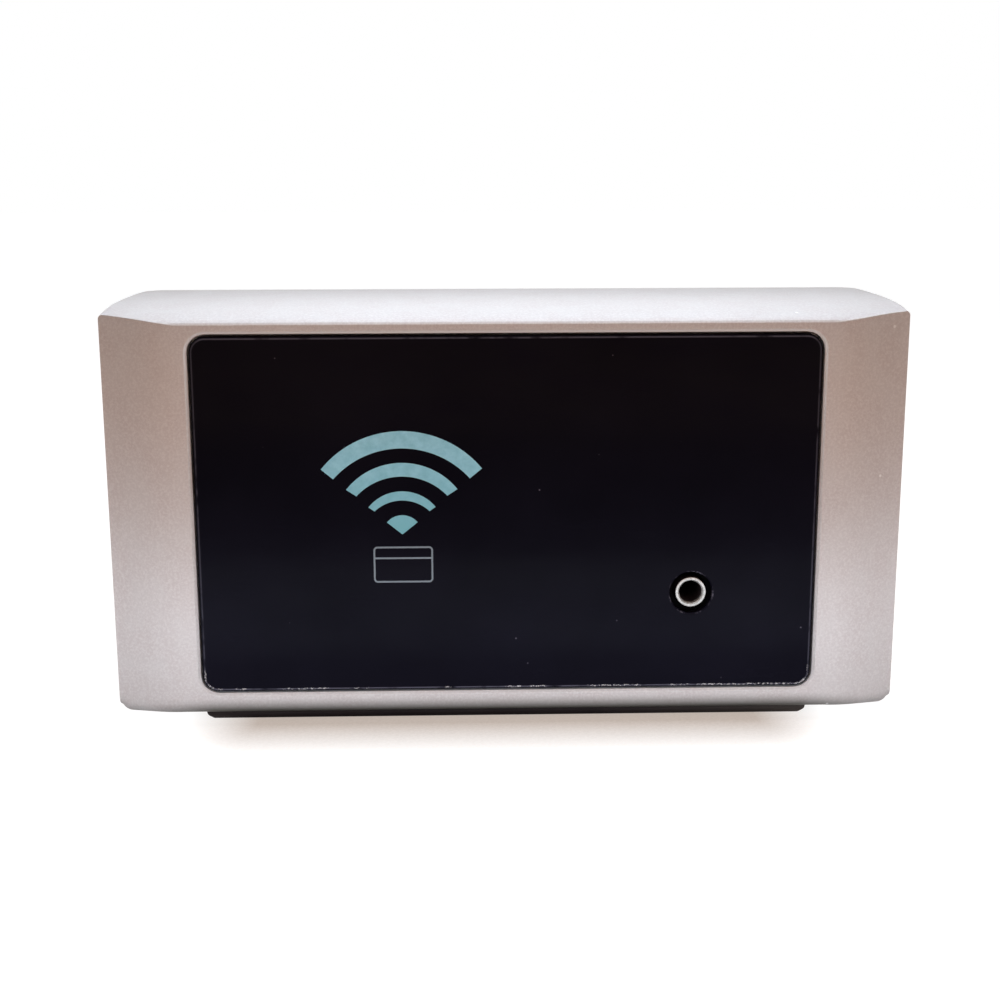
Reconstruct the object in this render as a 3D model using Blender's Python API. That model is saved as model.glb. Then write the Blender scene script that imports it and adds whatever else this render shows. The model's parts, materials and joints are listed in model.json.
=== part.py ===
"""Electronic cabinet lock: a surface mounted card reader lock with a motor driven bolt.

The lock is modelled in metres, +Z up, front facing -Y. Its origin is the middle
of the flat rear face of the back plate, which lies on the door.
"""
import math

import bmesh
import bpy
from mathutils import Vector

# Housing, as seen from the front and from above
END_LENGTH = 0.0135
TOP_BAND = 0.00165
BOTTOM_BAND = 0.0033
TOP_CROWN = 0.00285
BOTTOM_CROWN = 0.0006
BOTTOM_EDGE_RADIUS = 0.0020
TOP_CORNER_RADIUS = 0.0007
BOTTOM_CORNER_RADIUS = 0.0018
WING_LENGTH = 0.0115
WING_SWEEP = 0.0034
WING_WAVE_SHARE = 0.75
TIP_THICKNESS = 0.0012
END_TAPER = 0.0023
REAR_CORNER_RADIUS = 0.0030
LIP_CHAMFER = 0.0004
SIDE_WALL = 0.0022
CAVITY_CORNER_RADIUS = 0.0030
CAVITY_DEPTH_SHARES = (0.0, 0.2, 0.45, 0.7, 0.88, 0.93, 0.97, 1.0)
REAR_SETBACK = 0.0003

# Clearances and finish of the mesh
GAP = 0.0003
SLIDE_CLEARANCE = 0.0004
OVERRUN = 0.0020
SMOOTH_ANGLE = math.radians(35)
ROUND_STEPS = 24
HEXAGON = 6
CORNER_STEPS = 6
SECTION_STEPS = 14
EDGE_STEPS = 6
WING_STEPS = 13
END_STEPS = 11

# Front panel, its seal and the ledge that carries it
PANEL_END_INSET = 0.00005
PANEL_THICKNESS = 0.0019
PANEL_CORNER_RADIUS = 0.0024
PANEL_EDGE_CHAMFER = 0.0004
PANEL_HOLE_DIAMETER = 0.0066
RECESS_DEPTH = 0.0030
LEDGE_WIDTH = 0.0015
LEDGE_THICKNESS = 0.0016
SEAL_THICKNESS = 0.0005

# Emergency supply jack
JACK_INSET = 0.01865
JACK_RISE = 0.0055
JACK_BORE_DIAMETER = 0.0036
JACK_BARREL_DIAMETER = 0.0046
JACK_BARREL_SETBACK = 0.0004
JACK_BACK_LENGTH = 0.0028
JACK_BODY_WIDTH = 0.0080
JACK_BODY_HEIGHT = 0.0064

# Boards
ANTENNA_BOARD_THICKNESS = 0.0010
MAIN_BOARD_THICKNESS = 0.0016
BOARD_END_INSET = 0.0035
BOARD_TOP_INSET = 0.0013
COIL_LEFT_MARGIN = 0.00645
COIL_LIGHT_GAP = 0.0150
COIL_TOP_MARGIN = 0.0048
COIL_BOTTOM_MARGIN = 0.0042
COIL_CORNER_RADIUS = 0.0040
COIL_TRACK_WIDTH = 0.0010
COIL_TRACK_PITCH = 0.0020
COIL_TRACK_THICKNESS = 0.0003
COIL_TURNS = 4
READER_CHIP_SIZE = 0.0060
READER_CHIP_THICKNESS = 0.0010
LED_SIZE = 0.0030
LED_HEIGHT = 0.0011
LIGHT_INSET = 0.02145
LIGHT_DROP = 0.0138
CONTROLLER_SIZE = 0.0100
CONTROLLER_THICKNESS = 0.0014
CONTROLLER_X = -0.0060
CONTROLLER_DROP = 0.0198
BUZZER_DIAMETER = 0.0090
BUZZER_HEADROOM = 0.0028
SOUND_HOLE_DIAMETER = 0.0022
BUZZER_INSET = 0.0130
BUZZER_DROP = 0.0138
CAPACITOR_DIAMETER = 0.0063
CAPACITOR_HEADROOM = 0.0016
CAPACITOR_X = 0.0150
CAPACITOR_DROP = 0.0098
LINK_WIDTH = 0.0128
LINK_HEIGHT = 0.0025
LINK_X = -0.0060
LINK_RISE = 0.0062
CONNECTOR_WIDTH = 0.0060
CONNECTOR_HEIGHT = 0.0060
CONNECTOR_DEPTH = 0.0036
MOTOR_CONNECTOR_INSET = 0.0320
MOTOR_CONNECTOR_RISE = 0.0092
BATTERY_CONNECTOR_INSET = 0.0070
BATTERY_CONNECTOR_RISE = 0.0118

# Inner frame between the boards, with the ceiling of the battery bay
FRAME_THICKNESS = 0.0012
FRAME_BAR = 0.0036
FRAME_TOP_INSET = 0.0009
CEILING_THICKNESS = 0.0012
CEILING_MARGIN = 0.0001
POST_DIAMETER = 0.0050
POST_TOP_INSET = 0.0043
POST_GUIDE_GAP = 0.0013
POST_RISE = 0.0030

# Back plate, its screws and the inserts that take the door screws
PLATE_THICKNESS = 0.0012
PLATE_CORNER_RADIUS = 0.0027
SCREW_OUTSET = 0.0017
SCREW_TOP_INSET = 0.0033
SCREW_DIAMETER = 0.0020
SCREW_HOLE_DIAMETER = 0.0026
SCREW_LENGTH = 0.0080
SCREW_HEAD_DIAMETER = 0.0040
SCREW_SLOT_WIDTH = 0.0006
SCREW_SLOT_DEPTH = 0.0004
BOSS_DIAMETER = 0.0050
INSERT_INSET = 0.0105
INSERT_DIAMETER = 0.0064
INSERT_LENGTH = 0.0062
INSERT_BORE_DIAMETER = 0.0034
INSERT_NECK_DIAMETER = 0.0050
INSERT_FLOOR = 0.0012

# Bolt, its guide and the slot in the housing
BOLT_THROW = 0.0110
BOLT_TIP_INSET = 0.0028
BOLT_HEAD_LENGTH = 0.0300
BOLT_TAIL_LENGTH = 0.0282
BOLT_HEAD_HEIGHT = 0.0130
BOLT_TAIL_HEIGHT = 0.0080
BOLT_THICKNESS = 0.0070
BOLT_PLATE_GAP = 0.0058
BOLT_TIP_CHAMFER = 0.0010
GUIDE_INSET = 0.0270
GUIDE_LENGTH = 0.0190
GUIDE_WALL = 0.0020
GUIDE_FRONT_WALL = 0.0010

# Gear train
RACK_MODULE = 0.0008
RACK_SPARE_TEETH = 2
DRIVE_PINION_TEETH = 12
WHEEL_MODULE = 0.0005
WHEEL_TEETH = 40
MOTOR_PINION_TEETH = 10
ADDENDUM_SHARE = 0.80
DEDENDUM_SHARE = 1.25
TOOTH_THICKNESS_SHARE = 0.36
TOOTH_TIP_SHARE = 0.55
TOOTH_ROOT_SHARE = 1.40
GEAR_INSET = 0.0432
GEAR_RISE = 0.0166
WHEEL_WIDTH = 0.0026
WHEEL_PLATE_GAP = 0.0025
AXLE_DIAMETER = 0.0020
AXLE_FLANGE_DIAMETER = 0.0046
AXLE_FLANGE_THICKNESS = 0.0012
MOTOR_ANGLE = math.radians(215)
MOTOR_DIAMETER = 0.0130
MOTOR_LENGTH = 0.0070
MOTOR_PLATE_GAP = 0.0064
MOTOR_SHAFT_DIAMETER = 0.0016
MOTOR_SHAFT_ENTRY = 0.0025
MOTOR_PINION_WIDTH = 0.0030
BRACKET_WALL = 0.0014
BRACKET_WIDTH = 0.0036
BRACKET_LEG_WIDTH = 0.0040
BRACKET_LEG_HEIGHT = 0.0090

# Bolt position switches and the setup button
SWITCH_WIDTH = 0.0080
SWITCH_HEIGHT = 0.0056
SWITCH_DEPTH = 0.0035
SWITCH_STEM_WIDTH = 0.0014
SWITCH_STEM_HEIGHT = 0.0006
SWITCH_IN_INSET = 0.0110
SWITCH_OUT_OUTSET = 0.0040
SETUP_INSET = 0.0130
SETUP_RISE = 0.0212
SETUP_SWITCH_SIZE = 0.0060
SETUP_SWITCH_HEIGHT = 0.0036
SETUP_WELL_DEPTH = 0.0024
SETUP_FOOT_DIAMETER = 0.0030
SETUP_FOOT_LENGTH = 0.0014
SETUP_STEM_DIAMETER = 0.0020
SETUP_TRAVEL = 0.0008
SETUP_SINK = 0.0004

# Battery tray and cells
TRAY_WALL = 0.0007
TRAY_RIM = 0.0009
TRAY_DROP = 0.0022
TRAY_REAR_MARGIN = 0.0022
TRAY_LIP_SETBACK = 0.0025
TRAY_CORNER_CHAMFER = 0.0009
TRAY_FLOOR_DROP = 0.0004
CELL_DIAMETER = 0.0103
CELL_LENGTH = 0.0445
CELL_HEADROOM = 0.0029
CELL_NUB_DIAMETER = 0.0038
CELL_NUB_LENGTH = 0.0010
CELL_EDGE_RADIUS = 0.0005
CONTACT_THICKNESS = 0.0004
CONTACT_MARGIN = 0.00085
CONTACT_WIDTH = 0.0070
CONTACT_SEAT = 0.00045
BAY_CONTACT_WIDTH = 0.0040
BAY_CONTACT_RISE = 0.0018
BAY_CONTACT_SLOT_CLEARANCE = 0.0004

# Leads
LEAD_DIAMETER = 0.0010
LEAD_BEVEL_STEPS = 2
LEAD_POINTS = 14
LEAD_SPACING = 0.0024
LEAD_BEND_SHARE = 0.25

# Places along X, from the cells outwards
CONTACT_INNER_X = CELL_LENGTH + 1.5 * GAP
CONTACT_OUTER_X = CONTACT_INNER_X + CONTACT_THICKNESS
TRAY_HALF_LENGTH = CONTACT_OUTER_X + CONTACT_SEAT + TRAY_WALL
HALF_LENGTH = TRAY_HALF_LENGTH + END_LENGTH
WING_START_X = HALF_LENGTH - WING_LENGTH
REAR_CORNER_X = HALF_LENGTH - END_TAPER - REAR_CORNER_RADIUS
PANEL_WIDTH = 2 * (TRAY_HALF_LENGTH - PANEL_END_INSET)
WINDOW_HALF_WIDTH = PANEL_WIDTH / 2 - LEDGE_WIDTH
ANTENNA_BOARD_WIDTH = 2 * (TRAY_HALF_LENGTH - GAP)
MAIN_BOARD_WIDTH = 2 * (TRAY_HALF_LENGTH - BOARD_END_INSET)
FRAME_HALF_WIDTH = MAIN_BOARD_WIDTH / 2 + SLIDE_CLEARANCE
CEILING_HALF_WIDTH = TRAY_HALF_LENGTH + CEILING_MARGIN
POST_X = MAIN_BOARD_WIDTH / 2 - POST_DIAMETER / 2
SCREW_X = TRAY_HALF_LENGTH + SCREW_OUTSET
INSERT_X = POST_X - INSERT_INSET
BOLT_TIP_X = HALF_LENGTH - BOLT_TIP_INSET
GUIDE_START_X = BOLT_TIP_X - GUIDE_INSET
GEAR_X = BOLT_TIP_X - GEAR_INSET
SWITCH_IN_X = GEAR_X - SWITCH_IN_INSET
SWITCH_OUT_X = GEAR_X + SWITCH_OUT_OUTSET
MOTOR_CONNECTOR_X = GEAR_X - MOTOR_CONNECTOR_INSET
BATTERY_CONNECTOR_X = MAIN_BOARD_WIDTH / 2 - BATTERY_CONNECTOR_INSET
BUZZER_X = BUZZER_INSET - MAIN_BOARD_WIDTH / 2
SETUP_X = SETUP_INSET - MAIN_BOARD_WIDTH / 2
JACK_X = PANEL_WIDTH / 2 - JACK_INSET
LED_X = PANEL_WIDTH / 2 - LIGHT_INSET
COIL_LEFT_X = COIL_LEFT_MARGIN - PANEL_WIDTH / 2
COIL_RIGHT_X = LED_X - COIL_LIGHT_GAP
COIL_WIDTH = COIL_RIGHT_X - COIL_LEFT_X
COIL_X = (COIL_LEFT_X + COIL_RIGHT_X) / 2

# Radii of the gears
DRIVE_RADIUS = RACK_MODULE * DRIVE_PINION_TEETH / 2
WHEEL_RADIUS = WHEEL_MODULE * WHEEL_TEETH / 2
MOTOR_PINION_RADIUS = WHEEL_MODULE * MOTOR_PINION_TEETH / 2
RACK_TEETH = math.ceil(BOLT_THROW / (math.pi * RACK_MODULE)) + RACK_SPARE_TEETH
MOTOR_X = GEAR_X + (WHEEL_RADIUS + MOTOR_PINION_RADIUS) * math.cos(MOTOR_ANGLE)

# Places along Z: the bay holds the cells, and the drive and the boards stand above it
BAY_RISE = CELL_DIAMETER + CELL_HEADROOM - BOTTOM_BAND - TRAY_FLOOR_DROP
RACK_LINE_RISE = GEAR_RISE + DRIVE_RADIUS
BOLT_RISE = RACK_LINE_RISE + DEDENDUM_SHARE * RACK_MODULE + BOLT_TAIL_HEIGHT / 2
GUIDE_TOP_RISE = BOLT_RISE + BOLT_HEAD_HEIGHT / 2 + SLIDE_CLEARANCE + GUIDE_WALL
POST_TOP_RISE = GUIDE_TOP_RISE + POST_GUIDE_GAP + POST_DIAMETER / 2
BOARD_TOP_RISE = POST_TOP_RISE + POST_TOP_INSET
PANEL_HEIGHT = BAY_RISE + BOARD_TOP_RISE + BOARD_TOP_INSET
WINDOW_HALF_HEIGHT = PANEL_HEIGHT / 2 - LEDGE_WIDTH
TOP_FRONT_HEIGHT = PANEL_HEIGHT / 2 + TOP_BAND
BOTTOM_FRONT_DEPTH = PANEL_HEIGHT / 2 + BOTTOM_BAND
TRAY_FLOOR_TOP_Z = -BOTTOM_FRONT_DEPTH - TRAY_FLOOR_DROP
TRAY_BOTTOM_Z = -BOTTOM_FRONT_DEPTH - TRAY_DROP
TRAY_HEIGHT = CELL_DIAMETER + TRAY_RIM
CELL_Z = TRAY_FLOOR_TOP_Z + GAP + CELL_DIAMETER / 2
CONTACT_Z = CELL_Z
CONTACT_HEIGHT = CELL_DIAMETER - 2 * CONTACT_MARGIN
CEILING_Z = BAY_RISE - PANEL_HEIGHT / 2
BAY_CONTACT_TOP_Z = CEILING_Z + BAY_CONTACT_RISE
BOARD_BOTTOM = CEILING_Z + SLIDE_CLEARANCE
BOARD_TOP = CEILING_Z + BOARD_TOP_RISE
FRAME_TOP = PANEL_HEIGHT / 2 - FRAME_TOP_INSET
POST_TOP_Z = BOARD_TOP - POST_TOP_INSET
POST_BOTTOM_Z = BOARD_BOTTOM + POST_RISE
SCREW_TOP_Z = BOARD_TOP - SCREW_TOP_INSET
SCREW_BOTTOM_Z = POST_BOTTOM_Z
INSERT_Z = POST_TOP_Z
GEAR_Z = CEILING_Z + GEAR_RISE
RACK_LINE_Z = CEILING_Z + RACK_LINE_RISE
MOTOR_Z = GEAR_Z + (WHEEL_RADIUS + MOTOR_PINION_RADIUS) * math.sin(MOTOR_ANGLE)
BOLT_Z = CEILING_Z + BOLT_RISE
BOLT_TAIL_BOTTOM_Z = BOLT_Z - BOLT_TAIL_HEIGHT / 2
JACK_Z = CEILING_Z + JACK_RISE
LED_Z = BOARD_TOP - LIGHT_DROP
COIL_TOP_Z = BOARD_TOP - COIL_TOP_MARGIN
COIL_BOTTOM_Z = BOARD_BOTTOM + COIL_BOTTOM_MARGIN
COIL_HEIGHT = COIL_TOP_Z - COIL_BOTTOM_Z
COIL_Z = (COIL_TOP_Z + COIL_BOTTOM_Z) / 2
CONTROLLER_Z = BOARD_TOP - CONTROLLER_DROP
BUZZER_Z = BOARD_TOP - BUZZER_DROP
CAPACITOR_Z = BOARD_TOP - CAPACITOR_DROP
LINK_Z = BOARD_BOTTOM + LINK_RISE
MOTOR_CONNECTOR_Z = BOARD_BOTTOM + MOTOR_CONNECTOR_RISE
BATTERY_CONNECTOR_Z = BOARD_BOTTOM + BATTERY_CONNECTOR_RISE
SETUP_Z = BOARD_BOTTOM + SETUP_RISE

# Places along Y: two rows of cells give the depth, and the boards share what the bolt leaves
REAR_Y = -REAR_SETBACK
REAR_CORNER_Y = REAR_Y - REAR_CORNER_RADIUS
TRAY_REAR_Y = -TRAY_REAR_MARGIN
TRAY_FRONT_Y = TRAY_REAR_Y - 2 * (CELL_DIAMETER + TRAY_WALL + GAP) - GAP
TRAY_MIDDLE_Y = (TRAY_FRONT_Y + TRAY_REAR_Y) / 2
CELL_ROW_OFFSET = (CELL_DIAMETER + GAP) / 2
CAVITY_FRONT_Y = TRAY_FRONT_Y - GAP
LEDGE_Y = CAVITY_FRONT_Y - LEDGE_THICKNESS
FRONT_Y = LEDGE_Y - RECESS_DEPTH
TIP_Y = FRONT_Y + WING_SWEEP
TIP_REAR_Y = TIP_Y + TIP_THICKNESS
TRAY_LIP_FRONT_Y = FRONT_Y + TRAY_LIP_SETBACK
PANEL_REAR_Y = FRONT_Y + PANEL_THICKNESS
SEAL_REAR_Y = LEDGE_Y - GAP
SEAL_FRONT_Y = SEAL_REAR_Y - SEAL_THICKNESS
PLATE_FRONT_Y = -PLATE_THICKNESS
ON_PLATE_Y = PLATE_FRONT_Y - GAP
BOLT_REAR_Y = PLATE_FRONT_Y - BOLT_PLATE_GAP
BOLT_Y = BOLT_REAR_Y - BOLT_THICKNESS / 2
BOLT_FRONT_Y = BOLT_REAR_Y - BOLT_THICKNESS
ANTENNA_BOARD_FRONT_Y = CAVITY_FRONT_Y + GAP
ANTENNA_BOARD_REAR_Y = ANTENNA_BOARD_FRONT_Y + ANTENNA_BOARD_THICKNESS
MAIN_BOARD_REAR_Y = BOLT_FRONT_Y - SLIDE_CLEARANCE - GUIDE_FRONT_WALL - GAP
MAIN_BOARD_FRONT_Y = MAIN_BOARD_REAR_Y - MAIN_BOARD_THICKNESS
BOARD_GAP = MAIN_BOARD_FRONT_Y - ANTENNA_BOARD_REAR_Y
ON_MAIN_BOARD_Y = MAIN_BOARD_REAR_Y + GAP
BUZZER_HEIGHT = BOARD_GAP - BUZZER_HEADROOM
CAPACITOR_HEIGHT = BOARD_GAP - CAPACITOR_HEADROOM
JACK_BARREL_FRONT_Y = FRONT_Y + JACK_BARREL_SETBACK
JACK_BODY_REAR_Y = MAIN_BOARD_FRONT_Y - GAP
JACK_BARREL_LENGTH = JACK_BODY_REAR_Y - JACK_BACK_LENGTH - JACK_BARREL_FRONT_Y
FRAME_FRONT_Y = ANTENNA_BOARD_REAR_Y + GAP
FRAME_REAR_Y = FRAME_FRONT_Y + FRAME_THICKNESS
WHEEL_REAR_Y = PLATE_FRONT_Y - WHEEL_PLATE_GAP
WHEEL_FRONT_Y = WHEEL_REAR_Y - WHEEL_WIDTH
MOTOR_REAR_Y = PLATE_FRONT_Y - MOTOR_PLATE_GAP
MOTOR_FRONT_Y = MOTOR_REAR_Y - MOTOR_LENGTH

# Centres of the plate's screws and of the posts and spacers, from the front
SCREW_PLACES = [(side * SCREW_X, height) for height in (SCREW_TOP_Z, SCREW_BOTTOM_Z) for side in (-1, 1)]
POST_PLACES = [(side * POST_X, height) for height in (POST_TOP_Z, POST_BOTTOM_Z) for side in (-1, 1)]


def clear_scene():
    """Remove every object that the file opened with."""
    for piece in list(bpy.data.objects):
        bpy.data.objects.remove(piece, do_unlink=True)


def finish(name, colour, roughness, metallic):
    """A plain surface finish."""
    material = bpy.data.materials.new(name)
    material.use_nodes = True
    shader = material.node_tree.nodes["Principled BSDF"]
    shader.inputs["Base Color"].default_value = (*colour, 1.0)
    shader.inputs["Roughness"].default_value = roughness
    shader.inputs["Metallic"].default_value = metallic
    return material


def make_finishes():
    """All finishes of the lock, by name."""
    table = {
        "housing_metal": ((0.46, 0.43, 0.41), 0.42, 0.85),
        "black_panel": ((0.010, 0.011, 0.014), 0.22, 0.0),
        "seal_foam": ((0.05, 0.05, 0.05), 0.90, 0.0),
        "bright_steel": ((0.62, 0.62, 0.61), 0.28, 1.0),
        "plated_steel": ((0.50, 0.50, 0.48), 0.38, 1.0),
        "dark_plastic": ((0.018, 0.018, 0.019), 0.48, 0.0),
        "frame_plastic": ((0.030, 0.031, 0.033), 0.50, 0.0),
        "green_board": ((0.015, 0.105, 0.050), 0.40, 0.0),
        "copper": ((0.70, 0.33, 0.17), 0.30, 1.0),
        "nickel": ((0.66, 0.64, 0.58), 0.25, 1.0),
        "brass": ((0.70, 0.50, 0.20), 0.30, 1.0),
        "chip_plastic": ((0.02, 0.02, 0.02), 0.55, 0.0),
        "white_plastic": ((0.75, 0.74, 0.70), 0.45, 0.0),
        "led_lens": ((0.80, 0.85, 0.90), 0.15, 0.0),
        "cell_jacket": ((0.10, 0.16, 0.30), 0.35, 0.2),
        "gear_plastic": ((0.78, 0.76, 0.70), 0.45, 0.0),
        "red_lead": ((0.55, 0.03, 0.03), 0.45, 0.0),
        "black_lead": ((0.02, 0.02, 0.02), 0.45, 0.0),
    }
    return {name: finish(name, *values) for name, values in table.items()}


def point_on(axis, across, up, along):
    """A point from two coordinates in a section and one along the named axis."""
    if axis == "X":
        return Vector((along, across, up))
    if axis == "Y":
        return Vector((across, along, up))
    return Vector((across, up, along))


def add_piece(name, bm, material, at=(0.0, 0.0, 0.0), smooth=False):
    """Turn a closed bmesh into a named object."""
    bmesh.ops.recalc_face_normals(bm, faces=bm.faces)
    mesh = bpy.data.meshes.new(name)
    bm.to_mesh(mesh)
    bm.free()
    if smooth:
        mesh.shade_smooth()
        mesh.set_sharp_from_angle(angle=SMOOTH_ANGLE)
    if material is not None:
        mesh.materials.append(material)
    piece = bpy.data.objects.new(name, mesh)
    piece.location = at
    bpy.context.scene.collection.objects.link(piece)
    return piece


def extruded(name, outline, axis, start, end, material, at=(0.0, 0.0, 0.0), smooth=False):
    """A flat outline drawn in a section across the axis, extruded along it."""
    bm = bmesh.new()
    verts = [bm.verts.new(point_on(axis, across, up, start)) for across, up in outline]
    face = bm.faces.new(verts)
    grown = bmesh.ops.extrude_face_region(bm, geom=[face])
    moved = [item for item in grown["geom"] if isinstance(item, bmesh.types.BMVert)]
    bmesh.ops.translate(bm, verts=moved, vec=point_on(axis, 0.0, 0.0, end - start))
    return add_piece(name, bm, material, at, smooth)


def block(name, low, high, material):
    """A rectangular block between two corners."""
    outline = rectangle(low[0], high[0], low[2], high[2])
    return extruded(name, outline, "Y", low[1], high[1], material)


def rectangle(left, right, bottom, top):
    """Corners of a plain rectangle, counter-clockwise."""
    return [(left, bottom), (right, bottom), (right, top), (left, top)]


def rounded_rectangle(half_width, half_height, radius, centre=(0.0, 0.0)):
    """Outline of a rectangle with round corners."""
    outline = []
    corners = ((1, -1, -0.5), (1, 1, 0.0), (-1, 1, 0.5), (-1, -1, 1.0))
    for side, rise, turn in corners:
        for step in range(CORNER_STEPS + 1):
            angle = math.pi * (turn + 0.5 * step / CORNER_STEPS)
            across = side * (half_width - radius) + radius * math.cos(angle)
            up = rise * (half_height - radius) + radius * math.sin(angle)
            outline.append((centre[0] + across, centre[1] + up))
    return outline


def circle(radius, centre=(0.0, 0.0), steps=ROUND_STEPS):
    """Outline of a circle."""
    turns = [math.tau * step / steps for step in range(steps)]
    return [(centre[0] + radius * math.cos(turn), centre[1] + radius * math.sin(turn)) for turn in turns]


def turned(name, profile, axis, material, at, closed=False):
    """A profile of (radius, along) points, turned about the named axis.

    An open profile starts and ends on the axis; a closed one goes round a bore.
    """
    bm = bmesh.new()
    if axis == "X":
        verts = [bm.verts.new((along, radius, 0.0)) for radius, along in profile]
        direction = (1.0, 0.0, 0.0)
    else:
        verts = [bm.verts.new((radius, along, 0.0)) for radius, along in profile]
        direction = (0.0, 1.0, 0.0)
    edges = [bm.edges.new(pair) for pair in zip(verts, verts[1:])]
    if closed:
        edges.append(bm.edges.new((verts[-1], verts[0])))
    bmesh.ops.spin(bm, geom=verts + edges, cent=(0.0, 0.0, 0.0), axis=direction,
                   angle=math.tau, steps=ROUND_STEPS, use_merge=True)
    bmesh.ops.remove_doubles(bm, verts=bm.verts, dist=GAP / 300)
    return add_piece(name, bm, material, at, smooth=True)


def ring_profile(inner, outer, start, end):
    """Profile of a plain tube."""
    return [(inner, start), (outer, start), (outer, end), (inner, end)]


def disc_profile(radius, start, end):
    """Profile of a plain solid cylinder."""
    return [(0.0, start), (radius, start), (radius, end), (0.0, end)]


def boolean(piece, tool, operation="DIFFERENCE"):
    """Cut or join with a hidden tool object."""
    tool.hide_render = True
    tool.display_type = 'WIRE'
    step = piece.modifiers.new(tool.name, 'BOOLEAN')
    step.operation = operation
    step.solver = 'EXACT'
    step.object = tool


def drill(piece, name, radius, x, z, start, end):
    """Cut a round hole along Y."""
    tool = extruded(name, circle(radius, (x, z)), "Y", start, end, None)
    boolean(piece, tool)


def front_surface_y(x):
    """The front surface, which sweeps back in the wings along part of half a wave."""
    half_wave = math.pi * WING_WAVE_SHARE
    share = min(1.0, max(0.0, (abs(x) - WING_START_X) / WING_LENGTH))
    return FRONT_Y + WING_SWEEP * (1.0 - math.cos(half_wave * share)) / (1.0 - math.cos(half_wave))


def side_x(y):
    """How far the end wall reaches at a depth: it draws in evenly, then rounds the rear corner."""
    drawn_in = END_TAPER * max(0.0, (y - TIP_REAR_Y) / (REAR_Y - TIP_REAR_Y))
    reach = min(REAR_CORNER_RADIUS, max(0.0, y - REAR_CORNER_Y))
    return REAR_CORNER_X + END_TAPER - drawn_in + math.sqrt(REAR_CORNER_RADIUS ** 2 - reach ** 2)


def depth_share(y):
    """0 at the front plane and 1 at the door."""
    return min(1.0, max(0.0, (y - FRONT_Y) / -FRONT_Y))


def top_z(y):
    """The top surface, which rises from the front edge along a quarter ellipse."""
    return TOP_FRONT_HEIGHT + TOP_CROWN * math.sqrt(1.0 - (1.0 - depth_share(y)) ** 2)


def bottom_z(y):
    """The underside, which falls a little towards the door."""
    return -BOTTOM_FRONT_DEPTH - BOTTOM_CROWN * depth_share(y)


def corner_drop(x, radius):
    """How far a round corner has drawn in the top or the underside near a tip."""
    reach = max(0.0, abs(x) - HALF_LENGTH + radius) / radius
    return radius * (1.0 - math.sqrt(max(0.0, 1.0 - reach ** 2)))


def housing_section(x, rear):
    """Points (y, z) around the housing at one station along X, which ends at a depth."""
    front = front_surface_y(x)
    lowered = corner_drop(x, TOP_CORNER_RADIUS)
    raised = corner_drop(x, BOTTOM_CORNER_RADIUS)
    radius = min(BOTTOM_EDGE_RADIUS, (rear - front) / 2)
    outline = []
    for step in range(SECTION_STEPS + 1):
        depth = front + (rear - front) * (1.0 - math.cos(math.pi / 2 * step / SECTION_STEPS))
        outline.append((depth, top_z(depth) - lowered))
    outline.append((rear, bottom_z(rear) + raised))
    for step in range(EDGE_STEPS + 1):
        turn = math.pi / 2 * step / EDGE_STEPS
        outline.append((front + radius - radius * math.sin(turn),
                        bottom_z(front + radius) + raised + radius - radius * math.cos(turn)))
    return outline


def housing_stations():
    """Places along X with the depth where the housing ends there, close together in the wings."""
    right = [(WING_START_X + (REAR_CORNER_X - WING_START_X) * step / WING_STEPS, REAR_Y)
             for step in range(WING_STEPS + 1)]
    for step in range(1, CORNER_STEPS + 1):
        depth = REAR_CORNER_Y + REAR_CORNER_RADIUS * math.cos(math.pi / 2 * step / CORNER_STEPS)
        right.append((side_x(depth), depth))
    for step in range(1, END_STEPS + 1):
        depth = REAR_CORNER_Y + (TIP_REAR_Y - REAR_CORNER_Y) * math.sin(math.pi / 2 * step / END_STEPS)
        right.append((side_x(depth), depth))
    left = [(-x, depth) for x, depth in reversed(right)]
    return left + right


def bridged(name, rings, material, smooth=False):
    """A solid through closed rings of points with equal counts, capped at both ends."""
    bm = bmesh.new()
    loops = []
    for ring in rings:
        verts = [bm.verts.new(point) for point in ring]
        count = len(verts)
        loops.append([bm.edges.new((verts[i], verts[(i + 1) % count])) for i in range(count)])
    for first, second in zip(loops, loops[1:]):
        bmesh.ops.bridge_loops(bm, edges=first + second)
    bmesh.ops.holes_fill(bm, edges=bm.edges, sides=0)
    return add_piece(name, bm, material, smooth=smooth)


def make_cavity_tool():
    """The hollow of the housing, open at the rear."""
    depths = [CAVITY_FRONT_Y + (REAR_Y - CAVITY_FRONT_Y) * share for share in CAVITY_DEPTH_SHARES]
    depths.append(REAR_Y + OVERRUN)
    rings = []
    for depth in depths:
        half_width = side_x(depth) - SIDE_WALL
        middle = (top_z(depth) + bottom_z(depth)) / 2
        half_rise = (top_z(depth) - bottom_z(depth)) / 2 - SIDE_WALL
        outline = rounded_rectangle(half_width, half_rise, CAVITY_CORNER_RADIUS, (0.0, middle))
        rings.append([(across, depth, up) for across, up in outline])
    return bridged("cavity_tool", rings, None)


def panel_rings(levels):
    """Rings around the panel's outline, each at a depth and grown by a margin."""
    rings = []
    for depth, margin in levels:
        outline = rounded_rectangle(PANEL_WIDTH / 2 + margin, PANEL_HEIGHT / 2 + margin,
                                    PANEL_CORNER_RADIUS + margin)
        rings.append([(across, depth, up) for across, up in outline])
    return rings


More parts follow.
